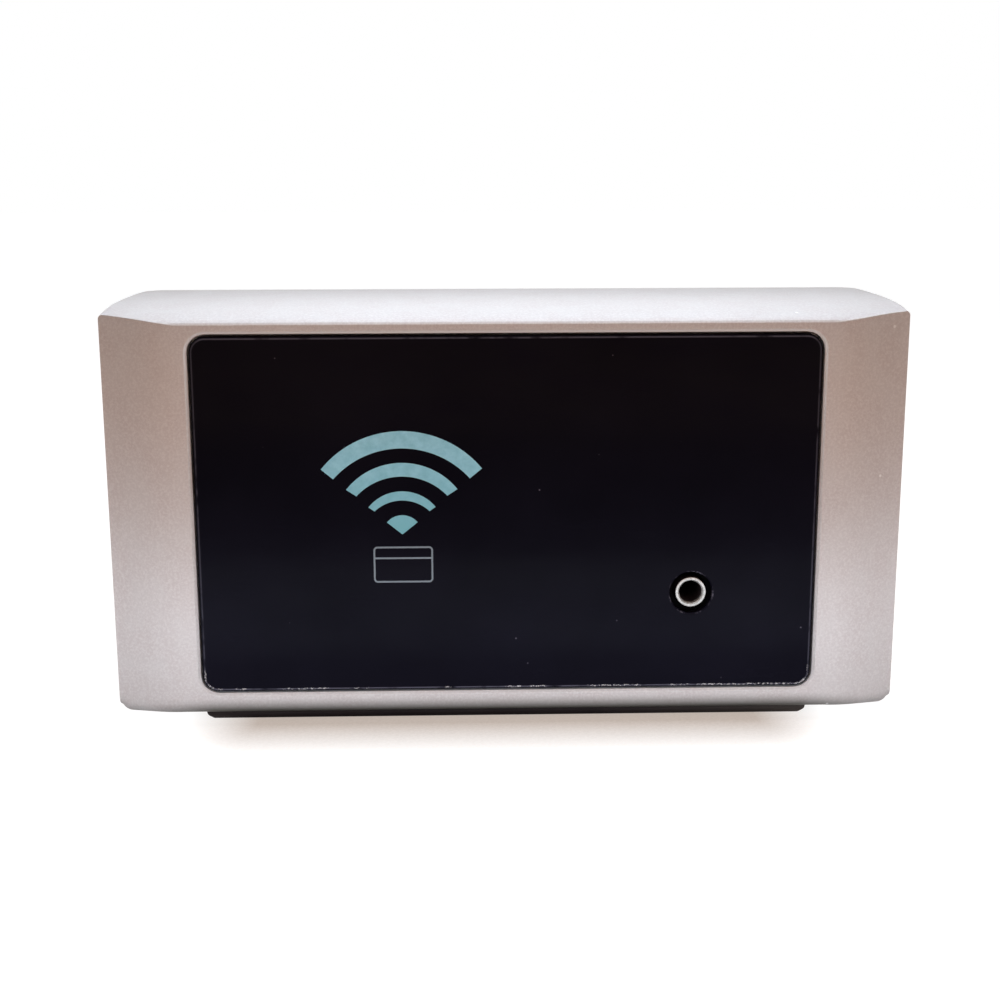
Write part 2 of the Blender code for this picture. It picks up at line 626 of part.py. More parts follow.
def make_front_housing(finishes):
    """The die cast front housing with its recess, window, bosses, slot and tray opening."""
    rings = [[(x, y, z) for y, z in housing_section(x, rear)] for x, rear in housing_stations()]
    housing = bridged("front_housing", rings, finishes["housing_metal"], smooth=True)
    boolean(housing, make_cavity_tool())
    for number, centre in enumerate(SCREW_PLACES, start=1):
        boss = extruded(f"boss_tool_{number}", circle(BOSS_DIAMETER / 2, centre), "Y",
                        CAVITY_FRONT_Y - LEDGE_THICKNESS / 2, ON_PLATE_Y, None)
        boolean(housing, boss, "UNION")
        drill(housing, f"boss_hole_tool_{number}", SCREW_HOLE_DIAMETER / 2, *centre,
              ON_PLATE_Y - SCREW_LENGTH - OVERRUN, ON_PLATE_Y + OVERRUN / 2)
    recess = panel_rings([(FRONT_Y - OVERRUN, GAP + LIP_CHAMFER + OVERRUN),
                          (FRONT_Y + LIP_CHAMFER, GAP), (LEDGE_Y, GAP)])
    boolean(housing, bridged("recess_tool", recess, None))
    window = rounded_rectangle(WINDOW_HALF_WIDTH, WINDOW_HALF_HEIGHT, PANEL_CORNER_RADIUS)
    boolean(housing, extruded("window_tool", window, "Y", FRONT_Y - OVERRUN, CAVITY_FRONT_Y + OVERRUN, None))
    slot = block("bolt_slot_tool",
                 (REAR_CORNER_X - SIDE_WALL * 2, BOLT_FRONT_Y - SLIDE_CLEARANCE,
                  BOLT_Z - BOLT_HEAD_HEIGHT / 2 - SLIDE_CLEARANCE),
                 (HALF_LENGTH + OVERRUN, BOLT_REAR_Y + SLIDE_CLEARANCE,
                  BOLT_Z + BOLT_HEAD_HEIGHT / 2 + SLIDE_CLEARANCE), None)
    boolean(housing, slot)
    opening = block("tray_opening_tool",
                    (-TRAY_HALF_LENGTH - GAP, CAVITY_FRONT_Y, bottom_z(REAR_Y) - OVERRUN),
                    (TRAY_HALF_LENGTH + GAP, TRAY_REAR_Y + GAP, CEILING_Z - OVERRUN), None)
    boolean(housing, opening)
    return housing


def make_front_panel(finishes):
    """The dark reader panel, with a round hole in front of the jack."""
    rings = panel_rings([(FRONT_Y, -PANEL_EDGE_CHAMFER), (FRONT_Y + PANEL_EDGE_CHAMFER, 0.0),
                         (PANEL_REAR_Y, 0.0)])
    panel = bridged("front_panel", rings, finishes["black_panel"])
    drill(panel, "panel_hole_tool", PANEL_HOLE_DIAMETER / 2, JACK_X, JACK_Z,
          FRONT_Y - OVERRUN, PANEL_REAR_Y + OVERRUN)
    seal_outline = rounded_rectangle(PANEL_WIDTH / 2 - GAP, PANEL_HEIGHT / 2 - GAP, PANEL_CORNER_RADIUS)
    seal = extruded("panel_adhesive", seal_outline, "Y", SEAL_FRONT_Y, SEAL_REAR_Y, finishes["seal_foam"])
    window = rounded_rectangle(WINDOW_HALF_WIDTH + GAP, WINDOW_HALF_HEIGHT + GAP, PANEL_CORNER_RADIUS)
    tool = extruded("seal_window_tool", window, "Y", SEAL_FRONT_Y - OVERRUN, SEAL_REAR_Y + OVERRUN, None)
    boolean(seal, tool)


def make_jack(finishes):
    """The emergency supply jack: a metal barrel in a plastic body on the main board."""
    outline = rectangle(JACK_X - JACK_BODY_WIDTH / 2, JACK_X + JACK_BODY_WIDTH / 2,
                        JACK_Z - JACK_BODY_HEIGHT / 2, JACK_Z + JACK_BODY_HEIGHT / 2)
    body = extruded("jack_body", outline, "Y", SEAL_FRONT_Y, JACK_BODY_REAR_Y, finishes["dark_plastic"])
    drill(body, "jack_well_tool", JACK_BARREL_DIAMETER / 2 + GAP, JACK_X, JACK_Z,
          SEAL_FRONT_Y - OVERRUN, JACK_BARREL_FRONT_Y + JACK_BARREL_LENGTH + GAP)
    profile = ring_profile(JACK_BORE_DIAMETER / 2, JACK_BARREL_DIAMETER / 2, 0.0, JACK_BARREL_LENGTH)
    turned("jack_barrel", profile, "Y", finishes["bright_steel"], (JACK_X, JACK_BARREL_FRONT_Y, JACK_Z),
           closed=True)


def coil_outline():
    """A flat spiral of round cornered turns, out along one edge and back along the other."""
    outer_edge = []
    inner_edge = []
    for turn in range(COIL_TURNS):
        base = rounded_rectangle(COIL_WIDTH / 2, COIL_HEIGHT / 2, COIL_CORNER_RADIUS)
        for step, (across, up) in enumerate(base):
            drawn_in = COIL_TRACK_PITCH * (turn + step / len(base))
            for edge, extra in ((outer_edge, 0.0), (inner_edge, COIL_TRACK_WIDTH)):
                depth = drawn_in + extra
                edge.append((COIL_X + across * (1 - 2 * depth / COIL_WIDTH),
                             COIL_Z + up * (1 - 2 * depth / COIL_HEIGHT)))
    return outer_edge + inner_edge[::-1]


def make_antenna_board(finishes):
    """The reader board behind the panel, with its coil, reader chip and status light."""
    half_width = ANTENNA_BOARD_WIDTH / 2
    outline = rectangle(-half_width, half_width, BOARD_BOTTOM, BOARD_TOP)
    board = extruded("antenna_board", outline, "Y", ANTENNA_BOARD_FRONT_Y, ANTENNA_BOARD_REAR_Y,
                     finishes["green_board"])
    notch = rectangle(JACK_X - JACK_BODY_WIDTH / 2 - GAP, JACK_X + JACK_BODY_WIDTH / 2 + GAP,
                      BOARD_BOTTOM - OVERRUN, JACK_Z + JACK_BODY_HEIGHT / 2 + GAP)
    boolean(board, extruded("antenna_notch_tool", notch, "Y", ANTENNA_BOARD_FRONT_Y - OVERRUN,
                            ANTENNA_BOARD_REAR_Y + OVERRUN, None))
    for number, centre in enumerate(SCREW_PLACES, start=1):
        drill(board, f"antenna_boss_tool_{number}", BOSS_DIAMETER / 2 + GAP, *centre,
              ANTENNA_BOARD_FRONT_Y - OVERRUN, ANTENNA_BOARD_REAR_Y + OVERRUN)
    coil_rear = ANTENNA_BOARD_FRONT_Y - GAP
    extruded("antenna_coil", coil_outline(), "Y", coil_rear - COIL_TRACK_THICKNESS, coil_rear,
             finishes["copper"])
    chip = rectangle(COIL_X - READER_CHIP_SIZE / 2, COIL_X + READER_CHIP_SIZE / 2,
                     COIL_Z - READER_CHIP_SIZE / 2, COIL_Z + READER_CHIP_SIZE / 2)
    chip_front = ANTENNA_BOARD_REAR_Y + GAP
    extruded("reader_chip", chip, "Y", chip_front, chip_front + READER_CHIP_THICKNESS,
             finishes["chip_plastic"])
    light = rectangle(LED_X - LED_SIZE / 2, LED_X + LED_SIZE / 2, LED_Z - LED_SIZE / 2, LED_Z + LED_SIZE / 2)
    extruded("status_led", light, "Y", coil_rear - LED_HEIGHT, coil_rear, finishes["led_lens"])


def make_inner_frame(finishes):
    """The moulded frame that spaces the boards and roofs the battery bay."""
    plastic = finishes["frame_plastic"]
    outline = rectangle(-FRAME_HALF_WIDTH, FRAME_HALF_WIDTH, CEILING_Z - CEILING_THICKNESS, FRAME_TOP)
    frame = extruded("inner_frame", outline, "Y", FRAME_FRONT_Y, FRAME_REAR_Y, plastic)
    opening = rectangle(-FRAME_HALF_WIDTH + FRAME_BAR + POST_DIAMETER / 2,
                        FRAME_HALF_WIDTH - FRAME_BAR - POST_DIAMETER / 2,
                        CEILING_Z + FRAME_BAR, FRAME_TOP - FRAME_BAR)
    boolean(frame, extruded("frame_opening_tool", opening, "Y", FRAME_FRONT_Y - OVERRUN,
                            FRAME_REAR_Y + OVERRUN, None))
    ceiling = block("ceiling_tool",
                    (-CEILING_HALF_WIDTH, TRAY_FRONT_Y, CEILING_Z - CEILING_THICKNESS),
                    (CEILING_HALF_WIDTH, ON_PLATE_Y, CEILING_Z), None)
    boolean(frame, ceiling, "UNION")
    for number, centre in enumerate(POST_PLACES, start=1):
        post = extruded(f"post_tool_{number}", circle(POST_DIAMETER / 2, centre), "Y",
                        FRAME_FRONT_Y + FRAME_THICKNESS / 2, MAIN_BOARD_FRONT_Y - GAP, None)
        boolean(frame, post, "UNION")
    notch = rectangle(JACK_X - JACK_BODY_WIDTH / 2 - GAP, JACK_X + JACK_BODY_WIDTH / 2 + GAP,
                      JACK_Z - JACK_BODY_HEIGHT / 2 - GAP, JACK_Z + JACK_BODY_HEIGHT / 2 + GAP)
    boolean(frame, extruded("frame_notch_tool", notch, "Y", FRAME_FRONT_Y - OVERRUN,
                            FRAME_REAR_Y + OVERRUN, None))
    for row in (-1, 1):
        centre_y = TRAY_MIDDLE_Y + row * CELL_ROW_OFFSET
        reach = BAY_CONTACT_WIDTH / 2 + BAY_CONTACT_SLOT_CLEARANCE
        low = (CONTACT_INNER_X - BAY_CONTACT_SLOT_CLEARANCE, centre_y - reach,
               CEILING_Z - CEILING_THICKNESS - OVERRUN)
        high = (CONTACT_OUTER_X + BAY_CONTACT_SLOT_CLEARANCE, centre_y + reach, CEILING_Z + OVERRUN)
        boolean(frame, block(f"contact_slot_tool_{row + 1}", low, high, None))


def make_main_board(finishes):
    """The main board and what is soldered to its two sides."""
    half_width = MAIN_BOARD_WIDTH / 2
    outline = rectangle(-half_width, half_width, BOARD_BOTTOM, BOARD_TOP)
    extruded("main_board", outline, "Y", MAIN_BOARD_FRONT_Y, MAIN_BOARD_REAR_Y, finishes["green_board"])
    seat = MAIN_BOARD_FRONT_Y - GAP
    chip = rectangle(CONTROLLER_X - CONTROLLER_SIZE / 2, CONTROLLER_X + CONTROLLER_SIZE / 2,
                     CONTROLLER_Z - CONTROLLER_SIZE / 2, CONTROLLER_Z + CONTROLLER_SIZE / 2)
    extruded("microcontroller", chip, "Y", seat - CONTROLLER_THICKNESS, seat, finishes["chip_plastic"])
    sound_hole = SOUND_HOLE_DIAMETER / 2
    buzzer = [(sound_hole, 0.0), (BUZZER_DIAMETER / 2, 0.0), (BUZZER_DIAMETER / 2, BUZZER_HEIGHT),
              (0.0, BUZZER_HEIGHT), (0.0, BUZZER_HEIGHT / 2), (sound_hole, BUZZER_HEIGHT / 2)]
    turned("buzzer", buzzer[4:] + buzzer[:4], "Y", finishes["dark_plastic"],
           (BUZZER_X, seat - BUZZER_HEIGHT, BUZZER_Z))
    can = disc_profile(CAPACITOR_DIAMETER / 2, 0.0, CAPACITOR_HEIGHT)
    turned("capacitor", can, "Y", finishes["plated_steel"],
           (CAPACITOR_X, seat - CAPACITOR_HEIGHT, CAPACITOR_Z))
    link = rectangle(LINK_X - LINK_WIDTH / 2, LINK_X + LINK_WIDTH / 2, LINK_Z - LINK_HEIGHT / 2,
                     LINK_Z + LINK_HEIGHT / 2)
    extruded("board_link", link, "Y", ANTENNA_BOARD_REAR_Y + GAP, seat, finishes["dark_plastic"])
    connectors = (("motor_connector", MOTOR_CONNECTOR_X, MOTOR_CONNECTOR_Z),
                  ("battery_connector", BATTERY_CONNECTOR_X, BATTERY_CONNECTOR_Z))
    for name, x, z in connectors:
        shell = rectangle(x - CONNECTOR_WIDTH / 2, x + CONNECTOR_WIDTH / 2,
                          z - CONNECTOR_HEIGHT / 2, z + CONNECTOR_HEIGHT / 2)
        extruded(name, shell, "Y", ON_MAIN_BOARD_Y, ON_MAIN_BOARD_Y + CONNECTOR_DEPTH,
                 finishes["white_plastic"])


def make_switches(finishes):
    """The two switches that feel where the bolt is, and the setup switch with its button."""
    tail_top = BOLT_Z + BOLT_TAIL_HEIGHT / 2
    stem_end = tail_top + SLIDE_CLEARANCE
    body_bottom = stem_end + SWITCH_STEM_HEIGHT
    for name, x in (("bolt_switch_in", SWITCH_IN_X), ("bolt_switch_out", SWITCH_OUT_X)):
        outline = [(x - SWITCH_WIDTH / 2, body_bottom), (x - SWITCH_STEM_WIDTH / 2, body_bottom),
                   (x - SWITCH_STEM_WIDTH / 2, stem_end), (x + SWITCH_STEM_WIDTH / 2, stem_end),
                   (x + SWITCH_STEM_WIDTH / 2, body_bottom), (x + SWITCH_WIDTH / 2, body_bottom),
                   (x + SWITCH_WIDTH / 2, body_bottom + SWITCH_HEIGHT),
                   (x - SWITCH_WIDTH / 2, body_bottom + SWITCH_HEIGHT)]
        extruded(name, outline, "Y", ON_MAIN_BOARD_Y, ON_MAIN_BOARD_Y + SWITCH_DEPTH,
                 finishes["dark_plastic"])
    shell = rectangle(SETUP_X - SETUP_SWITCH_SIZE / 2, SETUP_X + SETUP_SWITCH_SIZE / 2,
                      SETUP_Z - SETUP_SWITCH_SIZE / 2, SETUP_Z + SETUP_SWITCH_SIZE / 2)
    switch_rear = ON_MAIN_BOARD_Y + SETUP_SWITCH_HEIGHT
    switch = extruded("setup_switch", shell, "Y", ON_MAIN_BOARD_Y, switch_rear, finishes["dark_plastic"])
    drill(switch, "setup_well_tool", SETUP_FOOT_DIAMETER / 2 + GAP, SETUP_X, SETUP_Z,
          switch_rear - SETUP_WELL_DEPTH, switch_rear + OVERRUN)
    foot_front = switch_rear - SETUP_WELL_DEPTH + GAP + SETUP_TRAVEL
    foot_rear = foot_front + SETUP_FOOT_LENGTH
    foot = SETUP_FOOT_DIAMETER / 2
    stem = SETUP_STEM_DIAMETER / 2
    button = [(0.0, foot_front), (foot, foot_front), (foot, foot_rear), (stem, foot_rear),
              (stem, -SETUP_SINK), (0.0, -SETUP_SINK)]
    turned("setup_button", button, "Y", finishes["white_plastic"], (SETUP_X, 0.0, SETUP_Z))


def make_back_plate(finishes):
    """The steel back plate with its screws, its inserts and the spacers behind the main board."""
    steel = finishes["plated_steel"]
    half_width = side_x(REAR_Y) - SIDE_WALL - GAP
    half_rise = (top_z(REAR_Y) - bottom_z(REAR_Y)) / 2 - SIDE_WALL - GAP
    middle = (top_z(REAR_Y) + bottom_z(REAR_Y)) / 2
    outline = rounded_rectangle(half_width, half_rise, PLATE_CORNER_RADIUS, (0.0, middle))
    plate = extruded("back_plate", outline, "Y", PLATE_FRONT_Y, 0.0, steel)
    drill(plate, "setup_hole_tool", SETUP_STEM_DIAMETER / 2 + GAP, SETUP_X, SETUP_Z,
          PLATE_FRONT_Y - OVERRUN, OVERRUN)
    for number, (x, z) in enumerate(SCREW_PLACES, start=1):
        boolean(plate, turned(f"sink_tool_{number}", sink_profile(), "Y", None, (x, 0.0, z)))
        make_plate_screw(f"back_plate_screw_{number}", x, z, finishes)
    for number, side in enumerate((-1, 1), start=1):
        drill(plate, f"insert_hole_tool_{number}", INSERT_NECK_DIAMETER / 2 + GAP, side * INSERT_X, INSERT_Z,
              PLATE_FRONT_Y - OVERRUN, OVERRUN)
        make_insert(f"mounting_insert_{number}", side * INSERT_X, INSERT_Z, finishes)
    for number, centre in enumerate(POST_PLACES, start=1):
        pillar = circle(POST_DIAMETER / 2, centre, steps=HEXAGON)
        extruded(f"standoff_{number}", pillar, "Y", ON_MAIN_BOARD_Y, ON_PLATE_Y, finishes["brass"])


def sink_profile():
    """The countersunk hole of a plate screw."""
    hole = SCREW_HOLE_DIAMETER / 2
    head = SCREW_HEAD_DIAMETER / 2 + GAP
    return [(0.0, PLATE_FRONT_Y - OVERRUN), (hole, PLATE_FRONT_Y - OVERRUN), (hole, PLATE_FRONT_Y),
            (head, 0.0), (head, OVERRUN), (0.0, OVERRUN)]


def make_plate_screw(name, x, z, finishes):
    """A countersunk screw with a driving slot, flush with the rear of the plate."""
    shank = SCREW_DIAMETER / 2
    head = SCREW_HEAD_DIAMETER / 2
    sunk = -GAP / 2
    profile = [(0.0, ON_PLATE_Y - SCREW_LENGTH), (shank, ON_PLATE_Y - SCREW_LENGTH + shank / 2),
               (shank, PLATE_FRONT_Y), (head, sunk), (0.0, sunk)]
    screw = turned(name, profile, "Y", finishes["bright_steel"], (x, 0.0, z))
    slot = block(f"{name}_slot_tool", (x - head, sunk - SCREW_SLOT_DEPTH, z - SCREW_SLOT_WIDTH / 2),
                 (x + head, OVERRUN, z + SCREW_SLOT_WIDTH / 2), None)
    boolean(screw, slot)


def make_insert(name, x, z, finishes):
    """A threaded insert that takes a door screw from behind."""
    neck = INSERT_NECK_DIAMETER / 2
    body = INSERT_DIAMETER / 2
    bore = INSERT_BORE_DIAMETER / 2
    end = ON_PLATE_Y - INSERT_LENGTH
    profile = [(0.0, end), (body, end), (body, ON_PLATE_Y), (neck, ON_PLATE_Y), (neck, -GAP),
               (bore, -GAP), (bore, end + INSERT_FLOOR), (0.0, end + INSERT_FLOOR)]
    turned(name, profile, "Y", finishes["brass"], (x, 0.0, z))


def tooth(pitch, module, direction):
    """Half widths and heights of one straight sided tooth: root and tip."""
    thick = TOOTH_THICKNESS_SHARE * pitch
    root = (TOOTH_ROOT_SHARE * thick / 2, -direction * DEDENDUM_SHARE * module)
    tip = (TOOTH_TIP_SHARE * thick / 2, direction * ADDENDUM_SHARE * module)
    return root, tip


def gear_outline(teeth, module, phase):
    """Outline of a spur gear with a tooth centred on the phase angle."""
    radius = module * teeth / 2
    (root_half, root_rise), (tip_half, tip_rise) = tooth(math.pi * module, module, 1)
    root_radius = radius + root_rise
    tip_radius = radius + tip_rise
    outline = []
    for number in range(teeth):
        middle = phase + math.tau * number / teeth
        for reach, half in ((root_radius, -root_half), (tip_radius, -tip_half),
                            (tip_radius, tip_half), (root_radius, root_half)):
            angle = middle + half / reach
            outline.append((reach * math.cos(angle), reach * math.sin(angle)))
    return outline


def rack_outline():
    """Lower edge of the bolt's tail with its rack teeth, from left to right."""
    pitch = math.pi * RACK_MODULE
    (root_half, _), (tip_half, tip_rise) = tooth(pitch, RACK_MODULE, 1)
    tip_z = RACK_LINE_Z - tip_rise
    outline = []
    for number in range(2 - RACK_TEETH, 2):
        middle = GEAR_X + number * pitch
        outline += [(middle - root_half, BOLT_TAIL_BOTTOM_Z), (middle - tip_half, tip_z),
                    (middle + tip_half, tip_z), (middle + root_half, BOLT_TAIL_BOTTOM_Z)]
    return outline


def make_deadbolt(finishes):
    """The bolt: a square head in the slot and a tail with a rack."""
    head_back_x = BOLT_TIP_X - BOLT_HEAD_LENGTH
    tail_end_x = head_back_x - BOLT_TAIL_LENGTH
    head_low = BOLT_Z - BOLT_HEAD_HEIGHT / 2
    head_high = BOLT_Z + BOLT_HEAD_HEIGHT / 2
    tail_high = BOLT_Z + BOLT_TAIL_HEIGHT / 2
    outline = [(tail_end_x, BOLT_TAIL_BOTTOM_Z)] + rack_outline()
    outline += [(head_back_x, BOLT_TAIL_BOTTOM_Z), (head_back_x, head_low),
                (BOLT_TIP_X - BOLT_TIP_CHAMFER, head_low), (BOLT_TIP_X, head_low + BOLT_TIP_CHAMFER),
                (BOLT_TIP_X, head_high - BOLT_TIP_CHAMFER), (BOLT_TIP_X - BOLT_TIP_CHAMFER, head_high),
                (head_back_x, head_high), (head_back_x, tail_high), (tail_end_x, tail_high)]
    local = [(x - head_back_x, z - BOLT_Z) for x, z in outline]
    extruded("deadbolt", local, "Y", -BOLT_THICKNESS / 2, BOLT_THICKNESS / 2, finishes["bright_steel"],
             at=(head_back_x, BOLT_Y, BOLT_Z))
    low = BOLT_Z - BOLT_HEAD_HEIGHT / 2 - SLIDE_CLEARANCE
    high = BOLT_Z + BOLT_HEAD_HEIGHT / 2 + SLIDE_CLEARANCE
    guide = block("bolt_guide",
                  (GUIDE_START_X, BOLT_FRONT_Y - SLIDE_CLEARANCE - GUIDE_FRONT_WALL, low - GUIDE_WALL),
                  (GUIDE_START_X + GUIDE_LENGTH, ON_PLATE_Y, high + GUIDE_WALL), finishes["frame_plastic"])
    tunnel = block("guide_tunnel_tool",
                   (GUIDE_START_X - OVERRUN, BOLT_FRONT_Y - SLIDE_CLEARANCE, low),
                   (GUIDE_START_X + GUIDE_LENGTH + OVERRUN, BOLT_REAR_Y + SLIDE_CLEARANCE, high), None)
    boolean(guide, tunnel)


def make_gear_train(finishes):
    """Motor, its pinion, the two step reduction gear and their supports."""
    wheel = extruded("reduction_gear", gear_outline(WHEEL_TEETH, WHEEL_MODULE, MOTOR_ANGLE), "Y",
                     WHEEL_FRONT_Y, WHEEL_REAR_Y, finishes["gear_plastic"], at=(GEAR_X, 0.0, GEAR_Z))
    half_pitch = math.pi / DRIVE_PINION_TEETH
    pinion = extruded("drive_pinion_tool",
                      gear_outline(DRIVE_PINION_TEETH, RACK_MODULE, math.pi / 2 + half_pitch), "Y",
                      BOLT_FRONT_Y, WHEEL_FRONT_Y + WHEEL_WIDTH / 2, None, at=(GEAR_X, 0.0, GEAR_Z))
    boolean(wheel, pinion, "UNION")
    drill(wheel, "gear_bore_tool", AXLE_DIAMETER / 2 + GAP, GEAR_X, GEAR_Z, BOLT_FRONT_Y - OVERRUN,
          WHEEL_REAR_Y + OVERRUN)
    flange_front = ON_PLATE_Y - AXLE_FLANGE_THICKNESS
    pin = AXLE_DIAMETER / 2
    flange = AXLE_FLANGE_DIAMETER / 2
    axle = [(0.0, BOLT_FRONT_Y - GAP), (pin, BOLT_FRONT_Y - GAP), (pin, flange_front),
            (flange, flange_front), (flange, ON_PLATE_Y), (0.0, ON_PLATE_Y)]
    turned("gear_axle", axle, "Y", finishes["bright_steel"], (GEAR_X, 0.0, GEAR_Z))
    can = extruded("motor", circle(MOTOR_DIAMETER / 2, (MOTOR_X, MOTOR_Z)), "Y", MOTOR_FRONT_Y, MOTOR_REAR_Y,
                   finishes["plated_steel"], smooth=True)
    drill(can, "motor_bearing_tool", MOTOR_SHAFT_DIAMETER / 2 + GAP, MOTOR_X, MOTOR_Z,
          MOTOR_REAR_Y - MOTOR_SHAFT_ENTRY - GAP, MOTOR_REAR_Y + OVERRUN)
    shaft_front = MOTOR_REAR_Y - MOTOR_SHAFT_ENTRY
    pinion_rear = WHEEL_REAR_Y + (MOTOR_PINION_WIDTH - WHEEL_WIDTH) / 2
    space_phase = MOTOR_ANGLE + math.pi + math.pi / MOTOR_PINION_TEETH
    small = extruded("motor_pinion", gear_outline(MOTOR_PINION_TEETH, WHEEL_MODULE, space_phase), "Y",
                     pinion_rear - MOTOR_PINION_WIDTH, pinion_rear, finishes["brass"],
                     at=(MOTOR_X, 0.0, MOTOR_Z))
    shaft = extruded("motor_shaft_tool", circle(MOTOR_SHAFT_DIAMETER / 2, steps=ROUND_STEPS // 2), "Y",
                     shaft_front, pinion_rear - MOTOR_PINION_WIDTH / 2, None, at=(MOTOR_X, 0.0, MOTOR_Z))
    boolean(small, shaft, "UNION")
    make_motor_bracket(finishes)


def make_motor_bracket(finishes):
    """A clamp round the motor can, open towards the drive pinion, on a leg to the back plate."""
    inner = MOTOR_DIAMETER / 2 + GAP
    outer = inner + BRACKET_WALL
    middle_y = (MOTOR_FRONT_Y + MOTOR_REAR_Y) / 2
    front = middle_y - BRACKET_WIDTH / 2
    rear = middle_y + BRACKET_WIDTH / 2
    bracket = extruded("motor_bracket", circle(outer, (MOTOR_X, MOTOR_Z)), "Y", front, rear,
                       finishes["plated_steel"])
    leg_right = MOTOR_X - inner + BRACKET_WALL / 2
    leg = block("bracket_leg_tool", (leg_right - BRACKET_LEG_WIDTH, front, MOTOR_Z - BRACKET_LEG_HEIGHT / 2),
                (leg_right, ON_PLATE_Y, MOTOR_Z + BRACKET_LEG_HEIGHT / 2), None)
    boolean(bracket, leg, "UNION")
    drill(bracket, "bracket_bore_tool", inner, MOTOR_X, MOTOR_Z, MOTOR_FRONT_Y - OVERRUN,
          MOTOR_REAR_Y + OVERRUN)
    pinion_room = DRIVE_RADIUS + RACK_MODULE + GAP
    drill(bracket, "bracket_relief_tool", pinion_room, GEAR_X, GEAR_Z, MOTOR_FRONT_Y - OVERRUN,
          MOTOR_REAR_Y + OVERRUN)


def make_battery_tray(finishes):
    """The tray that closes the underside and carries the cells."""
    lip_top = [(depth, bottom_z(depth) - GAP) for depth in (TRAY_LIP_FRONT_Y, TRAY_FRONT_Y)]
    wall_top_z = TRAY_FLOOR_TOP_Z + TRAY_HEIGHT
    section = [(TRAY_LIP_FRONT_Y, TRAY_BOTTOM_Z + TRAY_CORNER_CHAMFER)] + lip_top
    section += [(TRAY_FRONT_Y, wall_top_z), (TRAY_REAR_Y, wall_top_z), (TRAY_REAR_Y, TRAY_BOTTOM_Z),
                (TRAY_LIP_FRONT_Y + TRAY_CORNER_CHAMFER, TRAY_BOTTOM_Z)]
    tray = extruded("battery_tray", section, "X", -TRAY_HALF_LENGTH, TRAY_HALF_LENGTH,
                    finishes["dark_plastic"])
    well = block("tray_well_tool",
                 (-TRAY_HALF_LENGTH + TRAY_WALL, TRAY_FRONT_Y + TRAY_WALL, TRAY_FLOOR_TOP_Z),
                 (TRAY_HALF_LENGTH - TRAY_WALL, TRAY_REAR_Y - TRAY_WALL, wall_top_z + OVERRUN), None)
    boolean(tray, well)
    for side in (-1, 1):
        corner = [(side * TRAY_HALF_LENGTH + side * GAP, TRAY_BOTTOM_Z - GAP),
                  (side * TRAY_HALF_LENGTH + side * GAP, TRAY_BOTTOM_Z + TRAY_CORNER_CHAMFER + GAP),
                  (side * (TRAY_HALF_LENGTH - TRAY_CORNER_CHAMFER - GAP), TRAY_BOTTOM_Z - GAP)]
        boolean(tray, extruded(f"tray_corner_tool_{side + 1}", corner, "Y",
                               TRAY_LIP_FRONT_Y - OVERRUN, TRAY_REAR_Y + OVERRUN, None))


def make_cells(finishes):
    """Four cells in two rows, nose to tail, with the rows turned opposite ways."""
    radius = CELL_DIAMETER / 2
    nub = CELL_NUB_DIAMETER / 2
    shoulder = CELL_LENGTH - CELL_NUB_LENGTH
    profile = [(0.0, 0.0), (radius - CELL_EDGE_RADIUS, 0.0), (radius, CELL_EDGE_RADIUS),
               (radius, shoulder - CELL_EDGE_RADIUS), (radius - CELL_EDGE_RADIUS, shoulder),
               (nub, shoulder), (nub, CELL_LENGTH), (0.0, CELL_LENGTH)]
    number = 0
    for row in (-1, 1):
        for start in (-CELL_LENGTH - GAP / 2, GAP / 2):
            number += 1
            turned_profile = profile
            if row > 0:
                turned_profile = [(reach, CELL_LENGTH - along) for reach, along in profile]
            turned(f"cell_{number}", turned_profile, "X", finishes["cell_jacket"],
                   (start, TRAY_MIDDLE_Y + row * CELL_ROW_OFFSET, CELL_Z))


def make_contacts(finishes):
    """The contact plates of the tray and the two blades that meet them in the bay."""
    low = CONTACT_Z - CONTACT_HEIGHT / 2
    high = CONTACT_Z + CONTACT_HEIGHT / 2
    reach = CELL_ROW_OFFSET + CONTACT_WIDTH / 2
    block("tray_contact_left", (-CONTACT_OUTER_X, TRAY_MIDDLE_Y - reach, low),
          (-CONTACT_INNER_X, TRAY_MIDDLE_Y + reach, high), finishes["nickel"])
    contact_top = CEILING_Z - CEILING_THICKNESS - GAP
    for number, row in enumerate((-1, 1), start=1):
        middle = TRAY_MIDDLE_Y + row * CELL_ROW_OFFSET
        tab = BAY_CONTACT_WIDTH / 2
        wide = CONTACT_WIDTH / 2
        outline = [(middle - wide, low), (middle + wide, low), (middle + wide, high), (middle + tab, high),
                   (middle + tab, contact_top - GAP), (middle - tab, contact_top - GAP),
                   (middle - tab, high), (middle - wide, high)]
        extruded(f"tray_contact_right_{number}", outline, "X", CONTACT_INNER_X, CONTACT_OUTER_X,
                 finishes["nickel"])
        block(f"bay_contact_{number}", (CONTACT_INNER_X, middle - tab, contact_top),
              (CONTACT_OUTER_X, middle + tab, BAY_CONTACT_TOP_Z), finishes["nickel"])


def smooth_route(points):
    """Points on one smooth curve through the route's own points."""
    ends = [points[0]] + list(points) + [points[-1]]
    route = []
    spans = len(points) - 1
    for step in range(LEAD_POINTS):
        place = spans * step / (LEAD_POINTS - 1)
        span = min(int(place), spans - 1)
        t = place - span
        before, first, second, after = (Vector(ends[span + k]) for k in range(4))
        route.append(0.5 * (2 * first + (second - before) * t
                            + (2 * before - 5 * first + 4 * second - after) * t ** 2
                            + (3 * first - before - 3 * second + after) * t ** 3))
    return route


